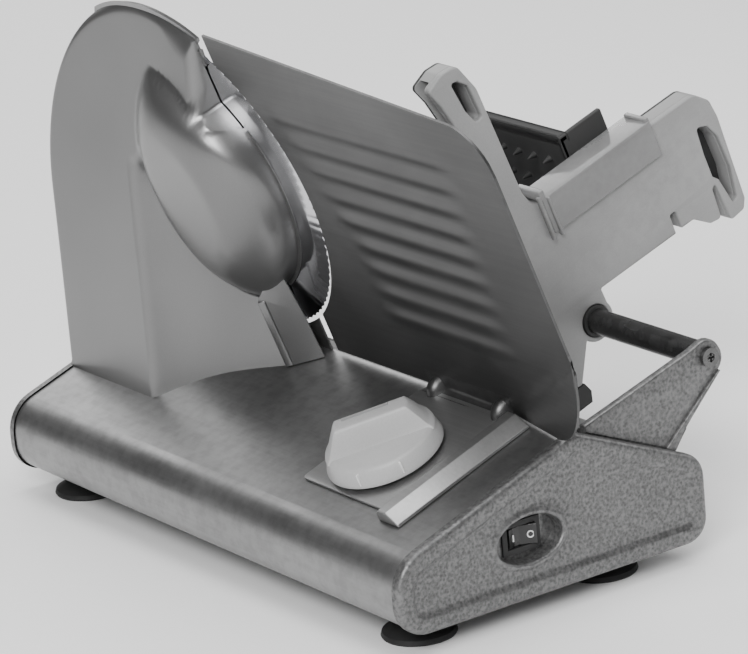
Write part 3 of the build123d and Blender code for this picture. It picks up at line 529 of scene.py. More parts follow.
def smoke():
    """Half-clear smoky plastic."""
    material, tree, shader, vector = begin("smoke")
    tone = use_group(tree, "Grain", vector, Scale=240.0, Broad=30.0, Tone=0.6)
    factor = remap(tree, tone.outputs[0], 0.7, 1.3)
    tint(tree, shader, grey(0.42), factor, (0.85, 1.1))
    gloss(tree, shader, vector, Low=0.08, High=0.2, Scale=60.0)
    shader.inputs["Transmission Weight"].default_value = 0.55
    shader.inputs["IOR"].default_value = 1.49
    bump(tree, shader, tone.outputs[1], 0.05, 0.0003)
    return material


# tone (or the setting that holds it), lowest and highest roughness, stretch of the strokes, wear, broad scale
METALS = {
    "base_sheet": ("sheet_tone", 0.34, 0.46, (9.0, 420.0, 420.0)),
    "plate_sheet": ("plate_tone", 0.36, 0.47, (7.0, 520.0, 520.0), 0.5, 9.0),
    "foot_sheet_painted_light": (0.42, 0.34, 0.46, (7.0, 520.0, 520.0), 0.6),
    "table_sheet": (0.55, 0.26, 0.38, (500.0, 8.0, 500.0)),
    # the guide foot is the plate's own sheet, given a lighter grey as painted light where it faces the lamps
    "turned_steel": (0.52, 0.22, 0.34, (600.0, 600.0, 600.0)),
    "zinc": (0.50, 0.28, 0.42, (500.0, 500.0, 500.0)),
    "dark_screw": (0.10, 0.22, 0.36, (500.0, 500.0, 500.0), 0.8),
}
# tone (or its setting), lowest and highest roughness, grain scale and depth, wear, specular level
PLASTICS = {
    "knob_plastic": ("knob_tone", 0.36, 0.46),
    "fence_plastic": ("fence_tone", 0.42, 0.52, 1400.0, 0.16),
    "black_plastic": (0.022, 0.42, 0.55, 1300.0, 0.2),
    "switch_gloss": (0.018, 0.16, 0.26, 1500.0, 0.03),
    "tube_black": (0.012, 0.20, 0.30, 500.0, 0.04, 0.6),
    "foot_rubber": (0.016, 0.55, 0.7, 900.0, 0.3, 0.2, 0.35),
    "nylon": (0.62, 0.35, 0.48, 900.0, 0.08),
    "pale_mark": (0.75, 0.4, 0.5),
}
OTHERS = {"bronze": bronze, "hammered": hammered, "lacquer": lacquer, "blade_steel": blade_steel,
          "smoke": smoke}


def finish(name):
    """The named material, built the first time it is asked for."""
    made = bpy.data.materials.get(name)
    if made:
        return made
    if name in OTHERS:
        return OTHERS[name]()
    make, table = (metal_sheet, METALS) if name in METALS else (plastic, PLASTICS)
    tone, *rest = table[name]
    if isinstance(tone, str):
        tone = getattr(bpy.context.scene.slicer_finish, tone)
    return make(name, tone, *rest)


# ---- geometry node trees --------------------------------------------------------------------
SCATTER_INPUTS = (("Radius", "NodeSocketFloat"), ("Height", "NodeSocketFloat"),
                  ("Turn", "NodeSocketVector"), ("Material", "NodeSocketMaterial"))


def scatter_tree(name):
    """A geometry node tree that takes points, with named inputs for what is put on them."""
    tree = bpy.data.node_groups.new(name, "GeometryNodeTree")
    tree.interface.new_socket(name="Geometry", in_out="INPUT", socket_type="NodeSocketGeometry")
    for label, kind in SCATTER_INPUTS:
        tree.interface.new_socket(name=label, in_out="INPUT", socket_type=kind)
    tree.interface.new_socket(name="Geometry", in_out="OUTPUT", socket_type="NodeSocketGeometry")
    return tree, tree.nodes.new("NodeGroupInput"), tree.nodes.new("NodeGroupOutput")


def end_tree(tree, given, result, shape):
    """Puts the shape on every point, realises the instances and gives them their material."""
    turn = node(tree, "FunctionNodeEulerToRotation", [(0, given.outputs["Turn"])])
    placed = node(tree, "GeometryNodeInstanceOnPoints", [("Points", given.outputs[0]), ("Instance", shape),
                                                         ("Rotation", turn.outputs[0])])
    real = node(tree, "GeometryNodeRealizeInstances", [(0, placed.outputs[0])])
    painted = node(tree, "GeometryNodeSetMaterial", [("Geometry", real.outputs[0]),
            ("Material", given.outputs["Material"])])
    tree.links.new(painted.outputs[0], result.inputs[0])


def screw_tree():
    """A rounded head with a cross recess at every point of the mesh."""
    tree, given, result = scatter_tree("Cross Head Screws")
    sphere = node(tree, "GeometryNodeMeshUVSphere", [("Segments", 28), ("Rings", 16),
            ("Radius", given.outputs["Radius"])])
    flat = node(tree, "ShaderNodeCombineXYZ", [(0, 1.0), (1, 1.0),
                (2, calc(tree, "DIVIDE", given.outputs["Height"], given.outputs["Radius"]))])
    head = node(tree, "GeometryNodeTransform", [("Geometry", sphere.outputs[0]), ("Scale", flat.outputs[0])])
    long = calc(tree, "MULTIPLY", given.outputs["Radius"], 1.15)
    thin = calc(tree, "MULTIPLY", given.outputs["Radius"], 0.24)
    bars = []
    for across in (0, 1):
        size = node(tree, "ShaderNodeCombineXYZ", [(across, long), (1 - across, thin),
                                                   (2, given.outputs["Height"])])
        bar = node(tree, "GeometryNodeMeshCube", [("Size", size.outputs[0])])
        lift = node(tree, "ShaderNodeCombineXYZ", [(2, given.outputs["Height"])])
        bars.append(node(tree, "GeometryNodeTransform", [("Geometry", bar.outputs[0]),
                ("Translation", lift.outputs[0])]))
    cut = node(tree, "GeometryNodeMeshBoolean", operation="DIFFERENCE")
    tree.links.new(head.outputs[0], cut.inputs["Mesh 1"])
    for bar in bars:
        tree.links.new(bar.outputs[0], cut.inputs["Mesh 2"])
    end_tree(tree, given, result, cut.outputs[0])
    return tree


def spike_tree():
    """A blunt cone at every point of the mesh."""
    tree, given, result = scatter_tree("Food Spikes")
    tip = calc(tree, "MULTIPLY", given.outputs["Radius"], 0.2)
    cone = node(tree, "GeometryNodeMeshCone", [("Vertices", 14), ("Radius Top", tip),
                                               ("Radius Bottom", given.outputs["Radius"]),
                                               ("Depth", given.outputs["Height"])])
    end_tree(tree, given, result, cone.outputs[0])
    return tree


TREE_MAKERS = {"Cross Head Screws": screw_tree, "Food Spikes": spike_tree}


def scattered(tree_name, places, radius, height, turn, material):
    """Runs a geometry node tree over a list of world points and returns the plain mesh."""
    tree = bpy.data.node_groups.get(tree_name) or TREE_MAKERS[tree_name]()
    obj = bpy.data.objects.new("points", from_points("points", places, []))
    bpy.context.scene.collection.objects.link(obj)
    modifier = obj.modifiers.new("nodes", "NODES")
    values = {"Radius": radius, "Height": height, "Turn": turn, "Material": finish(material)}
    modifier.node_group = tree
    for item in tree.interface.items_tree:
        if item.item_type == "SOCKET" and item.in_out == "INPUT" and item.name in values:
            modifier[item.identifier] = values[item.name]
    return evaluated(obj)


def screws(name, body, node_name, places, radius, height, turn, material="zinc"):
    """A group of like screws that stands for its CAD node, or adds to it where none is named."""
    mesh = scattered("Cross Head Screws", places, radius * MM, height * MM, turn, material)
    stands = (node_name,) if node_name else ()
    return piece(name, mesh, Matrix.Identity(4), material, body, stands, 40)


# ---- housing --------------------------------------------------------------------------------
def foot_line(x):
    """How far out the flank's foot stands at x: one smooth sweep from the upright corner to the deflector."""
    t = max(0.0, (FLANK_END - x) / (FLANK_END - CORNER_X))
    return 21.0 + 31.0 * t + 23.0 * t**4.5


def front_height(x, up, dome_r, dome_round):
    """How far the housing's skin stands out from the blade plane, as a smooth sculpted surface."""
    flat = FRONT_LOW - FRONT_RATE * up
    flank = -blend_max(-flat, FRONT_RATE * up - foot_line(x), 5.0)
    turn = 108 + 24 * smoothstep(-92, -66, x)
    above = smoothstep(turn, turn + 20, up)
    base = flank * (1 - above) + flat * above
    reach = hypot(x - BLADE_X, up - BLADE_UP)
    if reach >= dome_r:
        return base
    edge = DOME_FACE
    if reach > dome_r - dome_round:
        edge = DOME_FACE - dome_round + sqrt(max(0.0, dome_round**2 - (reach - dome_r + dome_round) ** 2))
    oval = hypot((x + 50) / 50, (up - 108) / 74)
    crown = 5 + 30 * max(0.0, 1 - max(0.0, (oval - 0.35) / 0.65) ** 2) ** 0.7
    dome = -blend_max(-edge, -crown, 2.0)
    return blend_max(base, dome, 4.5) if dome > 0 else base


def housing_edge(step=1.6):
    """The housing's outline in (x, up), evenly stepped, from the foot at the left round to the deflector."""
    half = RIGHT_EDGE - BLADE_X
    top_right = ARC_UP + sqrt(ARC_R**2 - half**2)
    dome_top = BLADE_UP + sqrt(72.0**2 - half**2)
    low_x = -38.5
    dome_low = BLADE_UP - sqrt(72.0**2 - (low_x - BLADE_X) ** 2)
    path = [(LEFT_EDGE, 0), (LEFT_EDGE, ARC_UP)]
    a0, a1 = pi, atan2(top_right - ARC_UP, half)
    path += [(BLADE_X + ARC_R * cos(a0 + (a1 - a0) * k / 60), ARC_UP + ARC_R * sin(a0 + (a1 - a0) * k / 60))
             for k in range(1, 61)]
    path += [(RIGHT_EDGE, dome_top)]
    b0, b1 = atan2(dome_top - BLADE_UP, half), atan2(dome_low - BLADE_UP, low_x - BLADE_X)
    path += [(BLADE_X + 72.0 * cos(b0 + (b1 - b0) * k / 60), BLADE_UP + 72.0 * sin(b0 + (b1 - b0) * k / 60))
             for k in range(1, 61)]
    path += [(low_x, 0), (LEFT_EDGE, 0)]
    return evenly(path, step)


def evenly(path, step):
    """Points along a polyline about one step apart that keep its corners."""
    out = []
    for (x0, y0), (x1, y1) in zip(path, path[1:]):
        parts = max(1, round(hypot(x1 - x0, y1 - y0) / step))
        out += [(x0 + (x1 - x0) * k / parts, y0 + (y1 - y0) * k / parts) for k in range(parts)]
    return out


def housing_skin():
    settings = bpy.context.scene.slicer_housing
    dome_r, dome_round = settings.dome_radius / MM, settings.dome_round / MM
    outline = housing_edge()
    centre = Vector((-92.0, 84.0))
    back = [(x, -2.3 if hypot(x - BLADE_X, up - BLADE_UP) < 97.5 else -1.4, up) for x, up in outline]
    loops = [back]
    for share in [1 - cos(k * pi / 12) for k in range(7)]:
        loop = []
        for x, up in outline:
            rim = settings.edge_round / MM + 7.0 * smoothstep(-52, -30, x) * smoothstep(150, 172, up)
            p = Vector((x, up))
            if up > 0.01:
                p += (centre - p).normalized() * rim * share
            height = front_height(p.x, p.y, dome_r, dome_round)
            if up > 0.01:
                height -= min(rim, height * 0.8) * (1 - sqrt(max(0.0, 1 - (1 - share) ** 2)))
            loop.append((p.x, -height, p.y))
        loops.append(loop)
    loops[0] = [front if b[2] <= 0.01 else b for b, front in zip(back, loops[1])]
    inner = [Vector((p[0], p[2])) for p in loops[-1]]
    for k in range(1, SKIN_RINGS):
        t = k / SKIN_RINGS
        loop = []
        for p in inner:
            q = p.lerp(centre, t)
            loop.append((q.x, -front_height(q.x, q.y, dome_r, dome_round), q.y))
        loops.append(loop)
    mesh = rings(loops, True)
    mesh = modified(cleaned(mesh, 1e-3), ("SOLIDIFY", {"thickness": 2.4, "offset": -1.0}))
    return piece("housing_skin", mesh, TILT, "lacquer", "root", ("blade_housing",), 50)


def deflector():
    """The upright slice plate beside the foot of the blade, with a rolled rib along its left edge."""
    along = Vector((-22.5 + 37.3, -7.4 + 21.9))
    turn = Matrix.Translation((-37.3, -21.9, 0)) @ Matrix.Rotation(atan2(along.y, along.x), 4, "Z")
    length = along.length
    outline = rounded([(0, 0.4, 0.2), (length, 0.4, 0.3), (length - 1, 30, 8), (length - 4, 61, 4),
                       (0, 44, 0.4)])
    sheet = slab(outline, -0.8, 0.8, 0.35)
    sheet.transform(Matrix.Rotation(pi / 2, 4, "X"))
    bead = brick((-1.2, -1.6, 0.4), (3.2, 1.3, 42.5), 1.0)
    mesh = joined(sheet, bead)
    return piece("deflector_plate", mesh, TILT @ turn, "lacquer", "root",
                 ("slice_deflector",))


# ---- blade ----------------------------------------------------------------------------------
def blade_disc():
    """A dished disc whose ground rim is scalloped."""
    settings = bpy.context.scene.slicer_blade
    teeth, depth = settings.teeth, settings.scallop / MM
    profile = [(5.4, -3.8), (5.4, -5.0), (30, -5.0), (56, -5.0), (58, -4.9), (60, -4.3), (64, -2.6),
               (66, -1.9), (68, -1.7),
               (80, -1.7), (86.5, -1.7), (87.5, -1.62), (BLADE_R - 0.3, -0.75), (BLADE_R, -0.5),
               (BLADE_R - 0.3, -0.3),
               (68, -0.3), (65, -0.6), (58.5, -3.6), (56, -3.8), (30, -3.8)]
    steps = teeth * 8
    points, faces = [], []
    n = len(profile)
    for k in range(steps):
        a = 2 * pi * k / steps
        wave = depth * abs(sin(k * pi / 8)) ** 1.4
        for r, out in profile:
            cut = wave * smoothstep(86.0, BLADE_R, r)
            points.append((BLADE_X + (r - depth + cut) * cos(a) if r > 86 else BLADE_X + r * cos(a), out,
                           BLADE_UP + (r - depth + cut) * sin(a) if r > 86 else BLADE_UP + r * sin(a)))
    for k in range(steps):
        j = (k + 1) % steps
        for i in range(n):
            h = (i + 1) % n
            faces.append((k * n + i, k * n + h, j * n + h, j * n + i))
    mesh = cleaned(from_points("blade", points, faces), 1e-5)
    return piece("blade_disc", mesh, TILT, "blade_steel", "blade", ("blade",), 28)


# ---- guide plate ----------------------------------------------------------------------------
PLATE_LOW, PLATE_RIGHT = 2.6, 211.4


def plate_left(up):
    """Left edge of the guide plate: upright, and cut round the blade."""
    reach = (BLADE_R + 2.2) ** 2 - (up - BLADE_UP) ** 2
    straight = -16.0 + (up - PLATE_LOW) * 0.01
    return max(straight, BLADE_X + sqrt(reach)) if reach > 0 else straight


def plate_top(x):
    flat = 199.0 - (x + 14.0) * (15.0 / 202.0)
    corner, radius = PLATE_RIGHT - 24.0, 24.0
    if x > corner:
        flat -= radius - sqrt(max(0.0, radius**2 - (x - corner) ** 2))
    return flat


def plate_bottom(x):
    if x <= 182:
        return PLATE_LOW
    t = (x - 182) / (PLATE_RIGHT - 182)
    return PLATE_LOW + 40.0 * (1 - sqrt(max(0.0, 1 - t * t)))


def plate_wave(x, up):
    """Pressed ribs, shallow toward the viewer, and the bent lower corner."""
    height = 0.0
    for k in range(9):
        level = 158.0 - 14.2 * k
        start, end = 20.0 + 7.0 * min(k, 5), 172.0 - 1.5 * k
        ends = smoothstep(start - 8, start + 16, x) * (1 - smoothstep(end - 14, end + 8, x))
        height += 1.15 * exp(-((up - level) / 4.2) ** 2) * ends
    fold = (x - 140) * 0.6 - up + 6
    if x > 140 and fold > 0:
        height += 0.22 * fold * smoothstep(0, 6, fold)
    return height


def guide_sheet():
    columns, rows = 170, 150
    points, faces = [], []
    for j in range(rows + 1):
        v = j / rows
        for i in range(columns + 1):
            u = i / columns
            up = PLATE_LOW + (195 - PLATE_LOW) * v
            for _ in range(5):
                left = plate_left(up)
                x = left + (PLATE_RIGHT - left) * u
                up = plate_bottom(x) + (plate_top(x) - plate_bottom(x)) * v
            points.append((x, -1.9 - plate_wave(x, up), up))
    wide = columns + 1
    for j in range(rows):
        for i in range(columns):
            a = j * wide + i
            faces.append((a, a + 1, a + wide + 1, a + wide))
    mesh = modified(from_points("plate", points, faces), ("SOLIDIFY", {"thickness": 1.4, "offset": -1.0}))
    fold, floor, channel, *gussets = plate_foot()
    # The foot and its channel are the same sheet as the plate, painted a lighter grey for the light they
    # catch.
    piece("guide_foot", joined(floor, channel), TILT, "foot_sheet_painted_light", "guide", (), 40)
    return piece("guide_plate_sheet", joined(mesh, fold, *gussets), TILT, "plate_sheet", "guide",
                 ("guide_plate",), 40)


def plate_foot():
    """The fold at the ridge, the foot under the knob, the side channel and two pressed gussets."""
    left, right = 64.0, 139.0
    fold = []
    for k in range(9):
        a = k * pi / 16
        fold.append((-1.2 - 4.0 * (1 - cos(a)) , 1.05 + 4.0 * (1 - sin(a))))
    bend = [(-1.2, 12.0)] + fold + [(-8, 1.05)]
    points = [(x, out, up) for x in (left + 3, right) for out, up in bend]
    n = len(bend)
    curl = from_points("fold", points, [(i, i + 1, n + i + 1, n + i) for i in range(n - 1)])
    curl = cleaned(modified(curl, ("SOLIDIFY", {"thickness": 1.5, "offset": 0.0})))
    floor = slab(rounded([(left, -88, 3), (right, -88, 1), (right, -4, 0.5), (left + 3, -4, 0.5),
                          (left, -12, 2)]),
                 0.3, 1.8, 0.3, [rounded([(KNOB[0] - 4.6, KNOB[1] - 4.6, 2),
                                          (KNOB[0] + 4.6, KNOB[1] - 4.6, 2),
                                          (KNOB[0] + 4.6, KNOB[1] + 19.6, 2),
                                          (KNOB[0] - 4.6, KNOB[1] + 19.6, 2)])])
    section = rounded([(right - 1, 0.4, 0.2), (right - 1, 4.6, 1.5), (right + 2, 7.0, 1.6),
                       (right + 8, 7.0, 1.8),
                       (right + 16, 1.9, 0.8), (right + 16, 0.4, 0.2)])
    channel = slab(section, 6.0, 94.0, 0.6)
    channel.transform(Matrix.Rotation(pi / 2, 4, "X"))
    gussets = [gusset(x) for x in (76.0, 131.0)]
    return [curl, floor, channel, *gussets]


def gusset(x):
    """A pressed stiffening web across the fold, smooth and rounded."""
    loops = []
    for k in range(9):
        t = k / 8 * 2 - 1
        bulge = sqrt(max(0.0, 1 - t * t))
        loops.append([(x + 5 * t, -1.2 - (1.2 + 8 * bulge) * cos(a), 1.2 + (0.8 + 7 * bulge) * sin(a))
                      for a in [i * pi / 16 for i in range(9)]])
    points = [p for loop in loops for p in loop]
    faces = [(i * 9 + k, i * 9 + k + 1, (i + 1) * 9 + k + 1,
              (i + 1) * 9 + k) for i in range(8) for k in range(8)]
    return modified(from_points("gusset", points, faces), ("SOLIDIFY", {"thickness": 1.0, "offset": 0.0}))


# ---- knob -----------------------------------------------------------------------------------
def knob():
    """A turned skirt with a grip that is a tall segment of it, a finger slot and two index marks."""
    settings = bpy.context.scene.slicer_knob
    radius, top = settings.radius / MM, settings.top_radius / MM
    skirt = lathe([(0, 4.3), (radius - 0.6, 4.3), (radius, 4.9), (radius, 6.0), (radius - 0.5, 7.2),
                   (top + 0.9, 12.6),
                   (top, 13.7), (top - 1.2, 14.3), (0, 14.5)], 128)
    levels = [(12.6, -0.6), (13.8, -0.6), (14.6, -0.1), (16, 0.2), (20, 0.2), (24, 0.2), (26.8, 0.3),
              (27.5, 0.6),
              (27.9, 1.2), (28.0, 2.2)]
    loops = [[(0.0, 0.0, 12.6)] * 160]
    for z, inset in levels:
        t = min(1.0, max(0.0, (z - GRIP_FOOT) / (GRIP_TOP - GRIP_FOOT)))
        reach = 28.9 + (20.0 - 28.9) * t - inset
        near, far = -8.0 + 2.5 * t + inset, 28.5 - 22.0 * t - inset
        loops.append([(reach * cos(a), min(far, max(near, reach * sin(a))), z) for a in
                      [2 * pi * k / 160 for k in range(160)]])
    grip = cleaned(rings(loops, True))
    grip = cut_away(grip, brick((-15, 2.6, 24.6), (10.5, 5.2, 31.0), 0.9))
    turn = TILT @ Matrix.Translation((*KNOB, 0)) @ Matrix.Rotation(settings.turn, 4, "Z")
    body = piece("knob_skirt", joined(skirt, grip), turn, "knob_plastic", "knob",
                 ("thickness_knob",), 38)
    # a black strip on the floor of the finger slot: painted shade for the dark inside the narrow slot
    slot_shade_strip = brick((-14.6, 2.9, 24.4), (10.1, 4.9, 25.0), 0.2)
    piece("knob_slot_painted_shade", slot_shade_strip, turn, "black_plastic", "knob")
    marks = [mark(a) for a in (radians(-117.6), radians(-73.6))]
    piece("knob_marks", joined(*marks), turn, "pale_mark", "knob")
    return body


def mark(angle):
    """A short raised index line on the knob's sloping skirt."""
    made = brick((27.9, -0.45, 5.6), (31.1, 0.45, 12.6), 0.2)
    made.transform(Matrix.Rotation(angle, 4, "Z"))
    return made


def cut_away(mesh, tool):
    """The first mesh without the second."""
    cutter = bpy.data.objects.new("cutter", tool)
    bpy.context.scene.collection.objects.link(cutter)
    result = modified(mesh, ("BOOLEAN", {"object": cutter, "operation": "DIFFERENCE", "solver": "EXACT"}))
    bpy.data.objects.remove(cutter)
    return result


# ---- end caps, brackets and switch ----------------------------------------------------------
def base_ring(inset, arc_steps=8, edge_steps=10):
    """The base's cross-section moved inwards by an even amount, with matching points at every inset."""
    front, rear, low = -95.8, 95.8, 11.2
    ridge = Vector((RIDGE_FROM_MIDDLE[0], RIDGE_FROM_MIDDLE[1] + 0.9))
    corners = [Vector((front, low)), Vector((rear, low)),
               Vector((rear, ridge.y - (rear - ridge.x) * REAR_FALL)), ridge,
               Vector((front, ridge.y - (ridge.x - front) * FRONT_FALL))]
    radii = [17.0, 12.8, 14.8, 3.8, 20.8]
    count = len(corners)
    moved = []
    for i, corner in enumerate(corners):
        a = (corner - corners[i - 1]).normalized()
        b = (corners[(i + 1) % count] - corner).normalized()
        na, nb = Vector((-a.y, a.x)), Vector((-b.y, b.x))
        moved.append(corner + (na + nb) * (inset / (1 + na.dot(nb))))
    rounds = [(p.x, p.y, max(2.5, r - inset)) for p, r in zip(moved, radii)]
    corner_points = rounded(rounds, arc_steps)
    ring = []
    per = arc_steps + 1
    for i in range(count):
        arc = corner_points[i * per:(i + 1) * per]
        ring += arc
        start, end = Vector(arc[-1]), Vector(corner_points[((i + 1) % count) * per])
        ring += [tuple(start.lerp(end, k / edge_steps)) for k in range(1, edge_steps)]
    return ring


OVAL = (-14.7, 41.9, 20.0, 12.2)   # the switch recess: centre y, z and half axes


def oval_ring(ring, grow):
    """Points on the switch oval, each in the direction of its fellow on the ring."""
    cy, cz, a, b = OVAL
    out = []
    for y, z in ring:
        t = atan2((z - cz) / (b + grow), (y - cy) / (a + grow))
        out.append((cy + (a + grow) * cos(t), cz + (b + grow) * sin(t)))
    return out


def end_cap(side):
    """A cast cap: rounded edge, raised border, dished panel and, at the switch end, the oval recess."""
    inner, outer = HALF - CAP, HALF
    steps = [(0.0, inner), (0.0, outer - 2.6), (0.25, outer - 1.6), (0.9, outer - 0.7), (2.0, outer - 0.15),
             (3.2, outer),
             (7.6, outer), (8.6, outer - 0.2), (9.6, outer - 0.9), (10.6, outer - 1.5), (11.8, outer - 1.7)]
    loops = [[(x, y, z) for y, z in base_ring(inset)] for inset, x in steps]
    last = base_ring(11.8)
    deep = outer - 1.7
    if side > 0:
        rim = oval_ring(last, 4.2)
        for t in (0.35, 0.7, 1.0):
            loops.append([(deep, p[0] + (q[0] - p[0]) * t, p[1] + (q[1] - p[1]) * t) for p,
                          q in zip(last, rim)])
        for grow, x in ((3.3, deep + 0.5), (2.4, deep + 1.1), (1.3, deep + 1.3), (0.5, deep + 0.9),
                        (0.0, deep - 0.2),
                        (-0.3, outer - 9.8)):
            loops.append([(x, y, z) for y, z in oval_ring(last, grow)])
    else:
        middle = Vector((10.0, 42.0))
        for t in (0.35, 0.7, 0.9):
            loops.append([(deep, y + (middle.x - y) * t, z + (middle.y - z) * t) for y, z in last])
    mesh = rings(loops, side < 0)
    matrix = FLAT if side > 0 else FLAT @ Matrix.Scale(-1, 4, (1, 0, 0))
    name = "end_cap_right" if side > 0 else "end_cap_left"
    made = piece(name + "_casting", mesh, matrix, "hammered", "root", (name,), 40)
    if side > 0:
        bezel = slab(oval_points(0.0), outer - 10.2, outer - 9.6, 0.1,
                     [rounded([(OVAL[0] - 9.9, OVAL[1] - 6.9, 1), (OVAL[0] + 9.9, OVAL[1] - 6.9, 1),
                               (OVAL[0] + 9.9, OVAL[1] + 6.9, 1), (OVAL[0] - 9.9, OVAL[1] + 6.9, 1)])])
        piece("switch_recess_floor", bezel, FLAT @ YZ, "hammered", "root")
    return made


# local x, y, z of a slab to the world's y, z, x
YZ = Matrix(((0, 0, 1, 0), (1, 0, 0, 0), (0, 1, 0, 0), (0, 0, 0, 1)))


def oval_points(grow, count=64):
    cy, cz, a, b = OVAL
    turns = [2 * pi * k / count for k in range(count)]
    return [(cy + (a + grow) * cos(t), cz + (b + grow) * sin(t)) for t in turns]


def rear_roof(y):
    return RIDGE_FROM_MIDDLE[1] - (y - RIDGE_FROM_MIDDLE[0]) * REAR_FALL


def bracket(side):
    """The cast ear that holds the rail: a rounded web, a bright rear rib and a foot flange."""
    front, rear = RIDGE_FROM_MIDDLE[0] + 12, 84.0
    rail_y, rail_z = RAIL_WORLD
    web = rounded([(front, rear_roof(front) + 0.3, 0.5), (rear, rear_roof(rear) + 0.3, 1.0),
                   (rail_y + 11.5, rail_z - 3.0, 9.0),
                   (rail_y + 3.0, rail_z + 11.5, 9.0), (rail_y - 11, rail_z + 5.5, 12.0),
                   (front + 1, rear_roof(front) + 4.2, 1.5)])
    rib = rounded([(rear - 6, rear_roof(rear - 6) + 0.4, 1.2), (rear, rear_roof(rear) + 0.4, 1.2),
                   (rail_y + 10.0, rail_z - 3.6, 1.2), (rail_y + 5.6, rail_z - 8.0, 1.2)])
    plate = slab(web, 171.0, 176.0, 1.2)
    edge = slab(rib, 171.2, 177.6, 0.7)
    foot = rounded([(front, rear_roof(front) + 0.2, 0.4), (rear, rear_roof(rear) + 0.2, 0.4),
                    (rear, rear_roof(rear) + 3.2, 0.8), (front, rear_roof(front) + 3.2, 0.8)])
    flange = slab(foot, 157.0, 172.0, 0.6)
    mesh = joined(plate, edge, flange)
    mesh.transform(YZ)
    matrix = FLAT if side > 0 else FLAT @ Matrix.Scale(-1, 4, (1, 0, 0))
    name = "rail_bracket_right" if side > 0 else "rail_bracket_left"
    return piece(name + "_casting", mesh, matrix, "hammered", "root", (name,), 40)


def rocker():
    """The glossy rocker with a raised ring and bar for off and on."""
    x0 = HALF - 12.0 + 2 + 0.8
    outline = [(-7.6, 1.2), (-4, -0.1), (0, -0.5), (4, 0.9), (7.6, 3.6)]
    top = []
    for (y0, h0), (y1, h1) in zip(outline, outline[1:]):
        top += [(y0 + (y1 - y0) * k / 5, h0 + (h1 - h0) * k / 5) for k in range(5)]
    top.append(outline[-1])
    side = [(h, y) for y, h in top] + [(-4.5, 7.2), (-4.5, -7.2)]
    body = slab([(x0 + h, OVAL[0] + y) for h, y in side], OVAL[1] - 5.2, OVAL[1] + 5.2, 0.4)
    piece("rocker_cap", body, FLAT, "switch_gloss", "rocker", ("switch_rocker",), 30)
    ring_mesh = lathe([(1.3, 0), (1.3, 0.25), (1.9, 0.25), (1.9, 0), (1.3, 0)], 24)
    ring_mesh.transform(Matrix.Translation((x0 + 2.0, OVAL[0] + 4.9, OVAL[1])) @ Matrix.Rotation(radians(66),
            4, "Z")
                        @ Matrix.Rotation(pi / 2, 4, "X") @ Matrix.Rotation(pi, 4, "Y"))
    bar = brick((x0 + 0.35, OVAL[0] - 5.2, OVAL[1] - 1.8), (x0 + 0.75, OVAL[0] - 4.4, OVAL[1] + 1.8), 0.1)
    return piece("rocker_marks", joined(ring_mesh, bar), FLAT, "pale_mark", "rocker")


# ---- carriage -------------------------------------------------------------------------------
BOSS = [(RAIL[0] + BOSS_R * cos(radians(a)), RAIL[1] + BOSS_R * sin(radians(a)), 0.2) for a in range(215, 386,
        10)]
FENCE = [(50, -3, 1), (50, -42, 2), (70.5, -43.5, 2), *BOSS, (102.4, -3.5, 1.0),
         (157.0, -4.4, 0.8), (157.2, 7, 1.2), (161.2, 7, 1.2), (161.2, -3.8, 0.8), (170, -4, 3),
         (179, -12.3, 3),
         (186.3, -13.6, 2), (187.5, 4, 1.2), (190, 6, 1.0), (191.5, -18.5, 2), (201.5, -17.5, 3),
         (204.5, -12, 4),
         (206.5, 38, 12), (205, 49, 6), (197, 57.5, 7), (84.5, 59, 7), (80.5, 70, 8), (79, 135, 12),
         (73, 152.5, 5),
         (63, 153, 5), (52, 149, 2.5), (56, 138, 8), (58.5, 126, 16), (59, 70, 8), (40, 58, 8), (8, 56, 2),
         (8, -2, 1)]
# local x, y, z of a slab to out, up, x of the leaning frame
OUT_UP = YZ


def fence():
    """The moulded fence: post, handle and leg in one plate, with its recesses."""
    slot = rounded([(191.6, 39.8, 1.5), (198.2, 37, 3.0), (202.2, 28, 4), (202.8, 8, 2.5), (200, -9, 2),
                    (196.5, -10, 1.2),
                    (193.4, 6.5, 1.5), (190.4, 10, 1.2), (190.4, 24, 6)])
    window = rounded([(66.1, 145.3, 1.2), (69.8, 144.6, 1.5), (74.8, 139, 2), (75.8, 119, 2.0),
                      (71.2, 120, 1.5),
                      (68.1, 128, 5), (67.1, 137, 5)])
    rail_hole = [(RAIL[0] + RAIL_HOLE_R * cos(2 * pi * k / 32),
                  RAIL[1] + RAIL_HOLE_R * sin(2 * pi * k / 32)) for k in range(32)]
    skin = slab(rounded(FENCE), FENCE_X - 4.2, FENCE_X, 1.1, [slot, window, rail_hole])
    wall = slab(rounded(FENCE), FENCE_X - FENCE_WIDE + 1.8, FENCE_X - 3.8, 0.3, [rail_hole, slot, window])
    wall = cut_away(wall, brick((42, 100, 72.4), (66, 151, 80.4), 0.5))
    mesh = joined(skin, wall)
    made = piece("fence_moulding", mesh, TILT @ OUT_UP, "fence_plastic", "carriage",
                 ("carriage_fence",), 40)
    back = slab(rounded(FENCE), FENCE_X - FENCE_WIDE, FENCE_X - FENCE_WIDE + 1.8, 0.3, [rail_hole])
    piece("fence_back", back, TILT @ OUT_UP, "black_plastic", "carriage",
          ("fence_inner_panel",), 40)
    sleeve = lathe([(6.78, 0), (8.4, 0), (8.4, 15.6), (8.0, 16.1), (6.78, 16.1), (6.78, 0)], 48)
    sleeve.transform(Matrix.Translation((FENCE_X - FENCE_WIDE, *RAIL)) @ Matrix.Rotation(pi / 2, 4, "Y"))
    piece("rail_sleeve", sleeve, TILT, "black_plastic", "carriage")
    return made


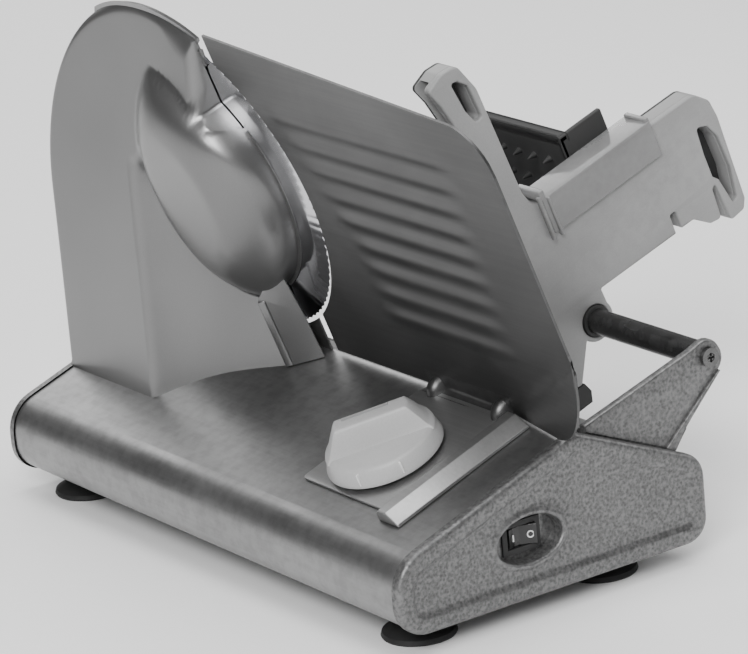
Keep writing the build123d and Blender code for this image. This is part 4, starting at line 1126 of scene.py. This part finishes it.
def saddle():
    """The smoky saddle of the food holder, over the fence's top edge, with its pronged near end."""
    left, right, top = FENCE_X - FENCE_WIDE - 2.4, FENCE_X + 2.4, 59.6
    parts = [brick((left, 88, top), (right, 165, top + 2.2), 0.7),
             brick((right - 2.0, 88, 41), (right, 165, top + 1.0), 0.7),
             brick((left, 88, 41), (left + 2.0, 165, top + 1.0), 0.7),
             brick((left, 87, top + 1.4), (right, 91, top + 7.0), 1.0),
             brick((left + 1, 162.5, top + 1.2), (right - 1, 165.5, top + 4.0), 0.8),
             brick((right - 1.4, 85.2, 38.5), (right + 1.4, 87.4, top + 5.0), 0.8),
             brick((right - 1.4, 90.6, 38.5), (right + 1.4, 92.6, top + 2.0), 0.8)]
    return piece("saddle_clip", joined(*parts), TILT, "smoke", "pusher", ("pusher_clip",),
                 40)


def pusher():
    """The black plate that holds the food, with rows of blunt spikes."""
    right = FENCE_X - FENCE_WIDE - 2.5
    sheet = slab(rounded([(-45, 4, 6), (right, 4, 3), (right, 74, 3), (-45, 74, 8)]), -125, -122, 0.8)
    sheet.transform(Matrix.Rotation(pi / 2, 4, "X"))
    rim = slab(rounded([(-45, 70, 3), (right, 70, 1), (right, 74, 1), (-45, 74, 3)]), -127.5, -122, 0.8)
    rim.transform(Matrix.Rotation(pi / 2, 4, "X"))
    arm = brick((right - 17.5, 125, 42), (right, 152, 46), 0.8)
    web = brick((right - 3, 122, 40), (right, 152, 74), 0.8)
    made = piece("pusher_face", joined(sheet, rim, arm, web), TILT, "black_plastic", "pusher",
                 ("pusher_plate",), 40)
    places = [tilted(-35 + 13 * i, 119.6, 16 + 15 * j) for i in range(8) for j in range(4)]
    spikes = scattered("Food Spikes", places, 1.9 * MM, 5.0 * MM, (pi / 2 + LEAN, 0, 0), "black_plastic")
    piece("spike_rows", spikes, Matrix.Identity(4), "black_plastic", "pusher",
          ("pusher_spikes",), 40)
    return made


# ---- fasteners ------------------------------------------------------------------------------
def world(x, y, z):
    return FLAT @ Vector((x, y, z))


def fasteners():
    """Every screw head that shows, group by group."""
    slope = radians(-23.5)
    for side, name in ((1, "right"), (-1, "left")):
        screws(f"rail_screw_{name}", "root", "", [world(side * 176.2, *RAIL_WORLD)], 5.0, 2.4,
               (0, side * pi / 2, 0),
               "dark_screw")
    heads = [FLAT @ (Vector((s * 163, y, rear_roof(y))) + Vector((0, sin(-slope), cos(slope))) * 2.9)
             for s in (-1, 1) for y in (RIDGE_FROM_MIDDLE[0] + 24, 70.0)]
    screws("bracket_screw_heads", "root", "bracket_screws", heads, 3.9, 2.2, (slope, 0, 0))
    backs = [tilted(x, -0.3, up) for x, up in ((-174, 20), (-174, 95), (-150, 166), (-50, 8))]
    screws("back_plate_screw_heads", "root", "back_plate_screws", backs, 3.3, 1.3, (LEAN - pi / 2, 0, 0))
    centre = [tilted(BLADE_X + 10 * cos(radians(90 + 120 * k)), -3.7,
                     BLADE_UP + 10 * sin(radians(90 + 120 * k)))
              for k in range(3)]
    screws("blade_screw_heads", "blade", "blade_screws", centre, 2.7, 1.3, (LEAN - pi / 2, 0, 0))
    tops = [tilted(x, RAIL[0] + d, 0.5) for x in (58, -12) for d in (-9.4, 9.4)]
    screws("table_screw_heads", "carriage", "carriage_screws", tops, 2.5, 1.1, (LEAN, 0, 0))


CAD_FINISHES = {
    "base_sheet": ["base_shell"],
    "lacquer": ["housing_back_plate"],
    "table_sheet": ["carriage_table"],
    "black_plastic": ["base_floor", "cord_gland", "slide_pad", "rail_bush_right", "rail_bush_left",
                      "knob_bush",
                      "switch_body"],
    "tube_black": ["carriage_rail"],
    "foot_rubber": ["foot_front_left", "foot_rear_left", "foot_front_right", "foot_rear_right"],
    "nylon": ["drive_gear", "idler_gear"],
    "turned_steel": ["blade_spindle", "idler_axle", "motor_shaft", "motor_pinion", "cam_follower",
                     "knob_spindle",
                     "knob_washer", "motor_can", "motor_mount"],
    "bronze": ["spindle_bush"],
    "zinc": ["foot_screws", "housing_screws", "motor_screws", "guide_screws", "blade_centre_cap"],
    "dark_screw": ["rail_screws"],
}


def paint_cad():
    """Gives every CAD node that stays visible its finish."""
    for name, nodes in CAD_FINISHES.items():
        for cad in nodes:
            mesh = frame["nodes"][cad].data
            mesh.materials.clear()
            mesh.materials.append(finish(name))


# ---- stage ----------------------------------------------------------------------------------
def stage():
    settings = bpy.context.scene.slicer_stage
    floor = bpy.data.objects.new("floor", from_points("floor",
            [(-6, -6, 0), (6, -6, 0), (6, 6, 0), (-6, 6, 0)],
                                                      [(0, 1, 2, 3)]))
    bpy.context.scene.collection.objects.link(floor)
    paint = bpy.data.materials.new("floor_paint")
    paint.use_nodes = True
    shader = paint.node_tree.nodes["Principled BSDF"]
    shader.inputs["Base Color"].default_value = (*grey(settings.floor_tone), 1)
    shader.inputs["Roughness"].default_value = 0.9
    floor.data.materials.append(paint)
    sky = bpy.data.worlds.new("studio")
    bpy.context.scene.world = sky
    sky.use_nodes = True
    sky.node_tree.nodes["Background"].inputs[0].default_value = (*grey(settings.sky_tone), 1)
    sky.node_tree.nodes["Background"].inputs[1].default_value = 1.0
    aim = MIDDLE + Vector((0, 0, 0.12))
    for name, place, size, power in (("key", (1.5, -1.5, 1.5), 1.1, 62), ("top", (0.1, 0.2, 2.4), 2.2, 60),
                                     ("left", (-2.0, 0.55, 1.45), 1.7, 26),
                                     ("rear", (0.6, 2.2, 1.2), 1.2, 12)):
        softbox(name, MIDDLE + Vector(place), aim, size, power)
    camera(settings)


def softbox(name, place, aim, size, power):
    light = bpy.data.lights.new(name, "AREA")
    light.shape, light.size, light.energy = "SQUARE", size, power
    obj = bpy.data.objects.new(name, light)
    obj.location = place
    obj.rotation_euler = (aim - place).to_track_quat("-Z", "Y").to_euler()
    bpy.context.scene.collection.objects.link(obj)


def camera(settings):
    """A long lens above the nose of the machine, rolled a little."""
    azimuth, pitch, roll = settings.azimuth, settings.pitch, settings.roll
    ahead = Vector((-sin(azimuth) * cos(pitch), cos(azimuth) * cos(pitch), -sin(pitch)))
    right = Vector((cos(azimuth), sin(azimuth), 0))
    down = ahead.cross(right)
    across = right * cos(roll) + down * sin(roll)
    below = down * cos(roll) - right * sin(roll)
    ridge = TILT @ Vector((0, 0, 0))
    data = bpy.data.cameras.new("camera")
    data.lens, data.sensor_width = settings.lens, 36.0
    data.clip_end = 50
    obj = bpy.data.objects.new("camera", data)
    turn = Matrix((across, -below, -ahead)).transposed()
    aim = ridge + Vector((0.1427, -0.0841, 0.0685))
    obj.matrix_world = Matrix.Translation(aim - ahead * settings.distance) @ turn.to_4x4()
    bpy.context.scene.collection.objects.link(obj)
    bpy.context.scene.camera = obj


# ---- settings -------------------------------------------------------------------------------
class SlicerHousingSettings(bpy.types.PropertyGroup):
    dome_radius: FloatProperty(name="Dome Radius", description="Radius of the gearbox dome", default=0.072,
                               unit="LENGTH")
    dome_round: FloatProperty(name="Dome Rounding", description="Rounding of the dome's front edge",
                              default=0.022,
                              unit="LENGTH")
    edge_round: FloatProperty(name="Edge Rounding", description="Rounding along the housing's rim",
                              default=0.004,
                              unit="LENGTH")


class SlicerBladeSettings(bpy.types.PropertyGroup):
    teeth: IntProperty(name="Scallops", description="Number of scallops round the blade", default=104, min=12,
                       max=160)
    scallop: FloatProperty(name="Scallop Depth", description="Depth of each scallop", default=0.0008,
                           unit="LENGTH")


class SlicerKnobSettings(bpy.types.PropertyGroup):
    radius: FloatProperty(name="Skirt Radius", description="Radius at the foot of the knob", default=0.0312,
                          unit="LENGTH")
    top_radius: FloatProperty(name="Top Radius", description="Radius at the top of the skirt", default=0.0282,
                              unit="LENGTH")
    turn: FloatProperty(name="Grip Turn", description="Which way the grip's flat stands",
                        default=radians(55.6),
                        subtype="ANGLE")


class SlicerFinishSettings(bpy.types.PropertyGroup):
    sheet_tone: FloatProperty(name="Base Sheet", description="Grey of the base's sheet metal", default=0.25,
                              min=0, max=1)
    plate_tone: FloatProperty(name="Guide Plate", description="Grey of the guide plate", default=0.1, min=0,
                              max=1)
    casting_tone: FloatProperty(name="Castings", description="Grey of the hammered castings", default=0.15,
                                min=0, max=1)
    lacquer_tone: FloatProperty(name="Lacquer", description="Grey of the housing's lacquer", default=0.19,
                                min=0, max=1)
    knob_tone: FloatProperty(name="Knob", description="Grey of the knob's plastic", default=0.42, min=0,
                             max=1)
    fence_tone: FloatProperty(name="Fence", description="Grey of the carriage fence", default=0.28, min=0,
                              max=1)


class SlicerStageSettings(bpy.types.PropertyGroup):
    floor_tone: FloatProperty(name="Floor", description="Grey of the studio floor", default=0.96, min=0,
                              max=1)
    sky_tone: FloatProperty(name="Surround", description="Grey of the studio around the floor", default=0.1,
                            min=0, max=1)
    azimuth: FloatProperty(name="Azimuth", description="Camera's turn round the machine",
                           default=radians(56.4),
                           subtype="ANGLE")
    pitch: FloatProperty(name="Pitch", description="How far the camera looks down", default=radians(17.5),
                         subtype="ANGLE")
    roll: FloatProperty(name="Roll", description="Camera's roll", default=radians(5.3), subtype="ANGLE")
    distance: FloatProperty(name="Distance", description="Camera to the aim point", default=2.13,
                            unit="LENGTH")
    lens: FloatProperty(name="Lens", description="Focal length in millimetres", default=211.8)


# ---- operators ------------------------------------------------------------------------------
class SLICER_OT_housing(bpy.types.Operator):
    """Builds the sculpted housing and the slice deflector"""
    bl_idname = "slicer.housing"
    bl_label = "Housing"

    def execute(self, context):
        housing_skin()
        deflector()
        return {"FINISHED"}


class SLICER_OT_blade(bpy.types.Operator):
    """Builds the scalloped blade"""
    bl_idname = "slicer.blade"
    bl_label = "Blade"

    def execute(self, context):
        blade_disc()
        return {"FINISHED"}


class SLICER_OT_guide(bpy.types.Operator):
    """Builds the ribbed guide plate with its folded foot"""
    bl_idname = "slicer.guide"
    bl_label = "Guide Plate"

    def execute(self, context):
        guide_sheet()
        return {"FINISHED"}


class SLICER_OT_knob(bpy.types.Operator):
    """Builds the thickness knob"""
    bl_idname = "slicer.knob"
    bl_label = "Thickness Knob"

    def execute(self, context):
        knob()
        return {"FINISHED"}


class SLICER_OT_castings(bpy.types.Operator):
    """Builds the end caps, the rail brackets and the switch"""
    bl_idname = "slicer.castings"
    bl_label = "Castings and Switch"

    def execute(self, context):
        for side in (1, -1):
            end_cap(side)
            bracket(side)
        rocker()
        return {"FINISHED"}


class SLICER_OT_carriage(bpy.types.Operator):
    """Builds the fence, the saddle and the food holder"""
    bl_idname = "slicer.carriage"
    bl_label = "Carriage"

    def execute(self, context):
        fence()
        saddle()
        pusher()
        return {"FINISHED"}


class SLICER_OT_fasteners(bpy.types.Operator):
    """Builds the screw heads"""
    bl_idname = "slicer.fasteners"
    bl_label = "Fasteners"

    def execute(self, context):
        fasteners()
        return {"FINISHED"}


class SLICER_OT_cad_finishes(bpy.types.Operator):
    """Gives the CAD pieces that stay visible their finishes"""
    bl_idname = "slicer.cad_finishes"
    bl_label = "CAD Finishes"

    def execute(self, context):
        paint_cad()
        return {"FINISHED"}


class SLICER_OT_stage(bpy.types.Operator):
    """Sets up the floor, the lights and the camera"""
    bl_idname = "slicer.stage"
    bl_label = "Stage"

    def execute(self, context):
        stage()
        return {"FINISHED"}


class SLICER_PT_panel(bpy.types.Panel):
    bl_label = "Deli Slicer"
    bl_idname = "SLICER_PT_panel"
    bl_space_type = "VIEW_3D"
    bl_region_type = "UI"
    bl_category = "Slicer"

    def draw(self, context):
        for operator in OPERATORS:
            self.layout.operator(operator.bl_idname)


SETTINGS = {"slicer_housing": SlicerHousingSettings, "slicer_blade": SlicerBladeSettings,
            "slicer_knob": SlicerKnobSettings, "slicer_finish": SlicerFinishSettings,
            "slicer_stage": SlicerStageSettings}
OPERATORS = [SLICER_OT_stage, SLICER_OT_housing, SLICER_OT_blade, SLICER_OT_guide, SLICER_OT_knob,
             SLICER_OT_castings,
             SLICER_OT_carriage, SLICER_OT_fasteners, SLICER_OT_cad_finishes]


def register():
    for cls in (*SETTINGS.values(), *OPERATORS, SLICER_PT_panel):
        bpy.utils.register_class(cls)
    for name, cls in SETTINGS.items():
        setattr(bpy.types.Scene, name, PointerProperty(type=cls))


def unregister():
    for name in SETTINGS:
        delattr(bpy.types.Scene, name)
    for cls in reversed((*SETTINGS.values(), *OPERATORS, SLICER_PT_panel)):
        bpy.utils.unregister_class(cls)


def main():
    """Builds everything in order."""
    register()
    for operator in OPERATORS:
        space, verb = operator.bl_idname.split(".")
        getattr(getattr(bpy.ops, space), verb)()


if __name__ == "__main__":
    main()
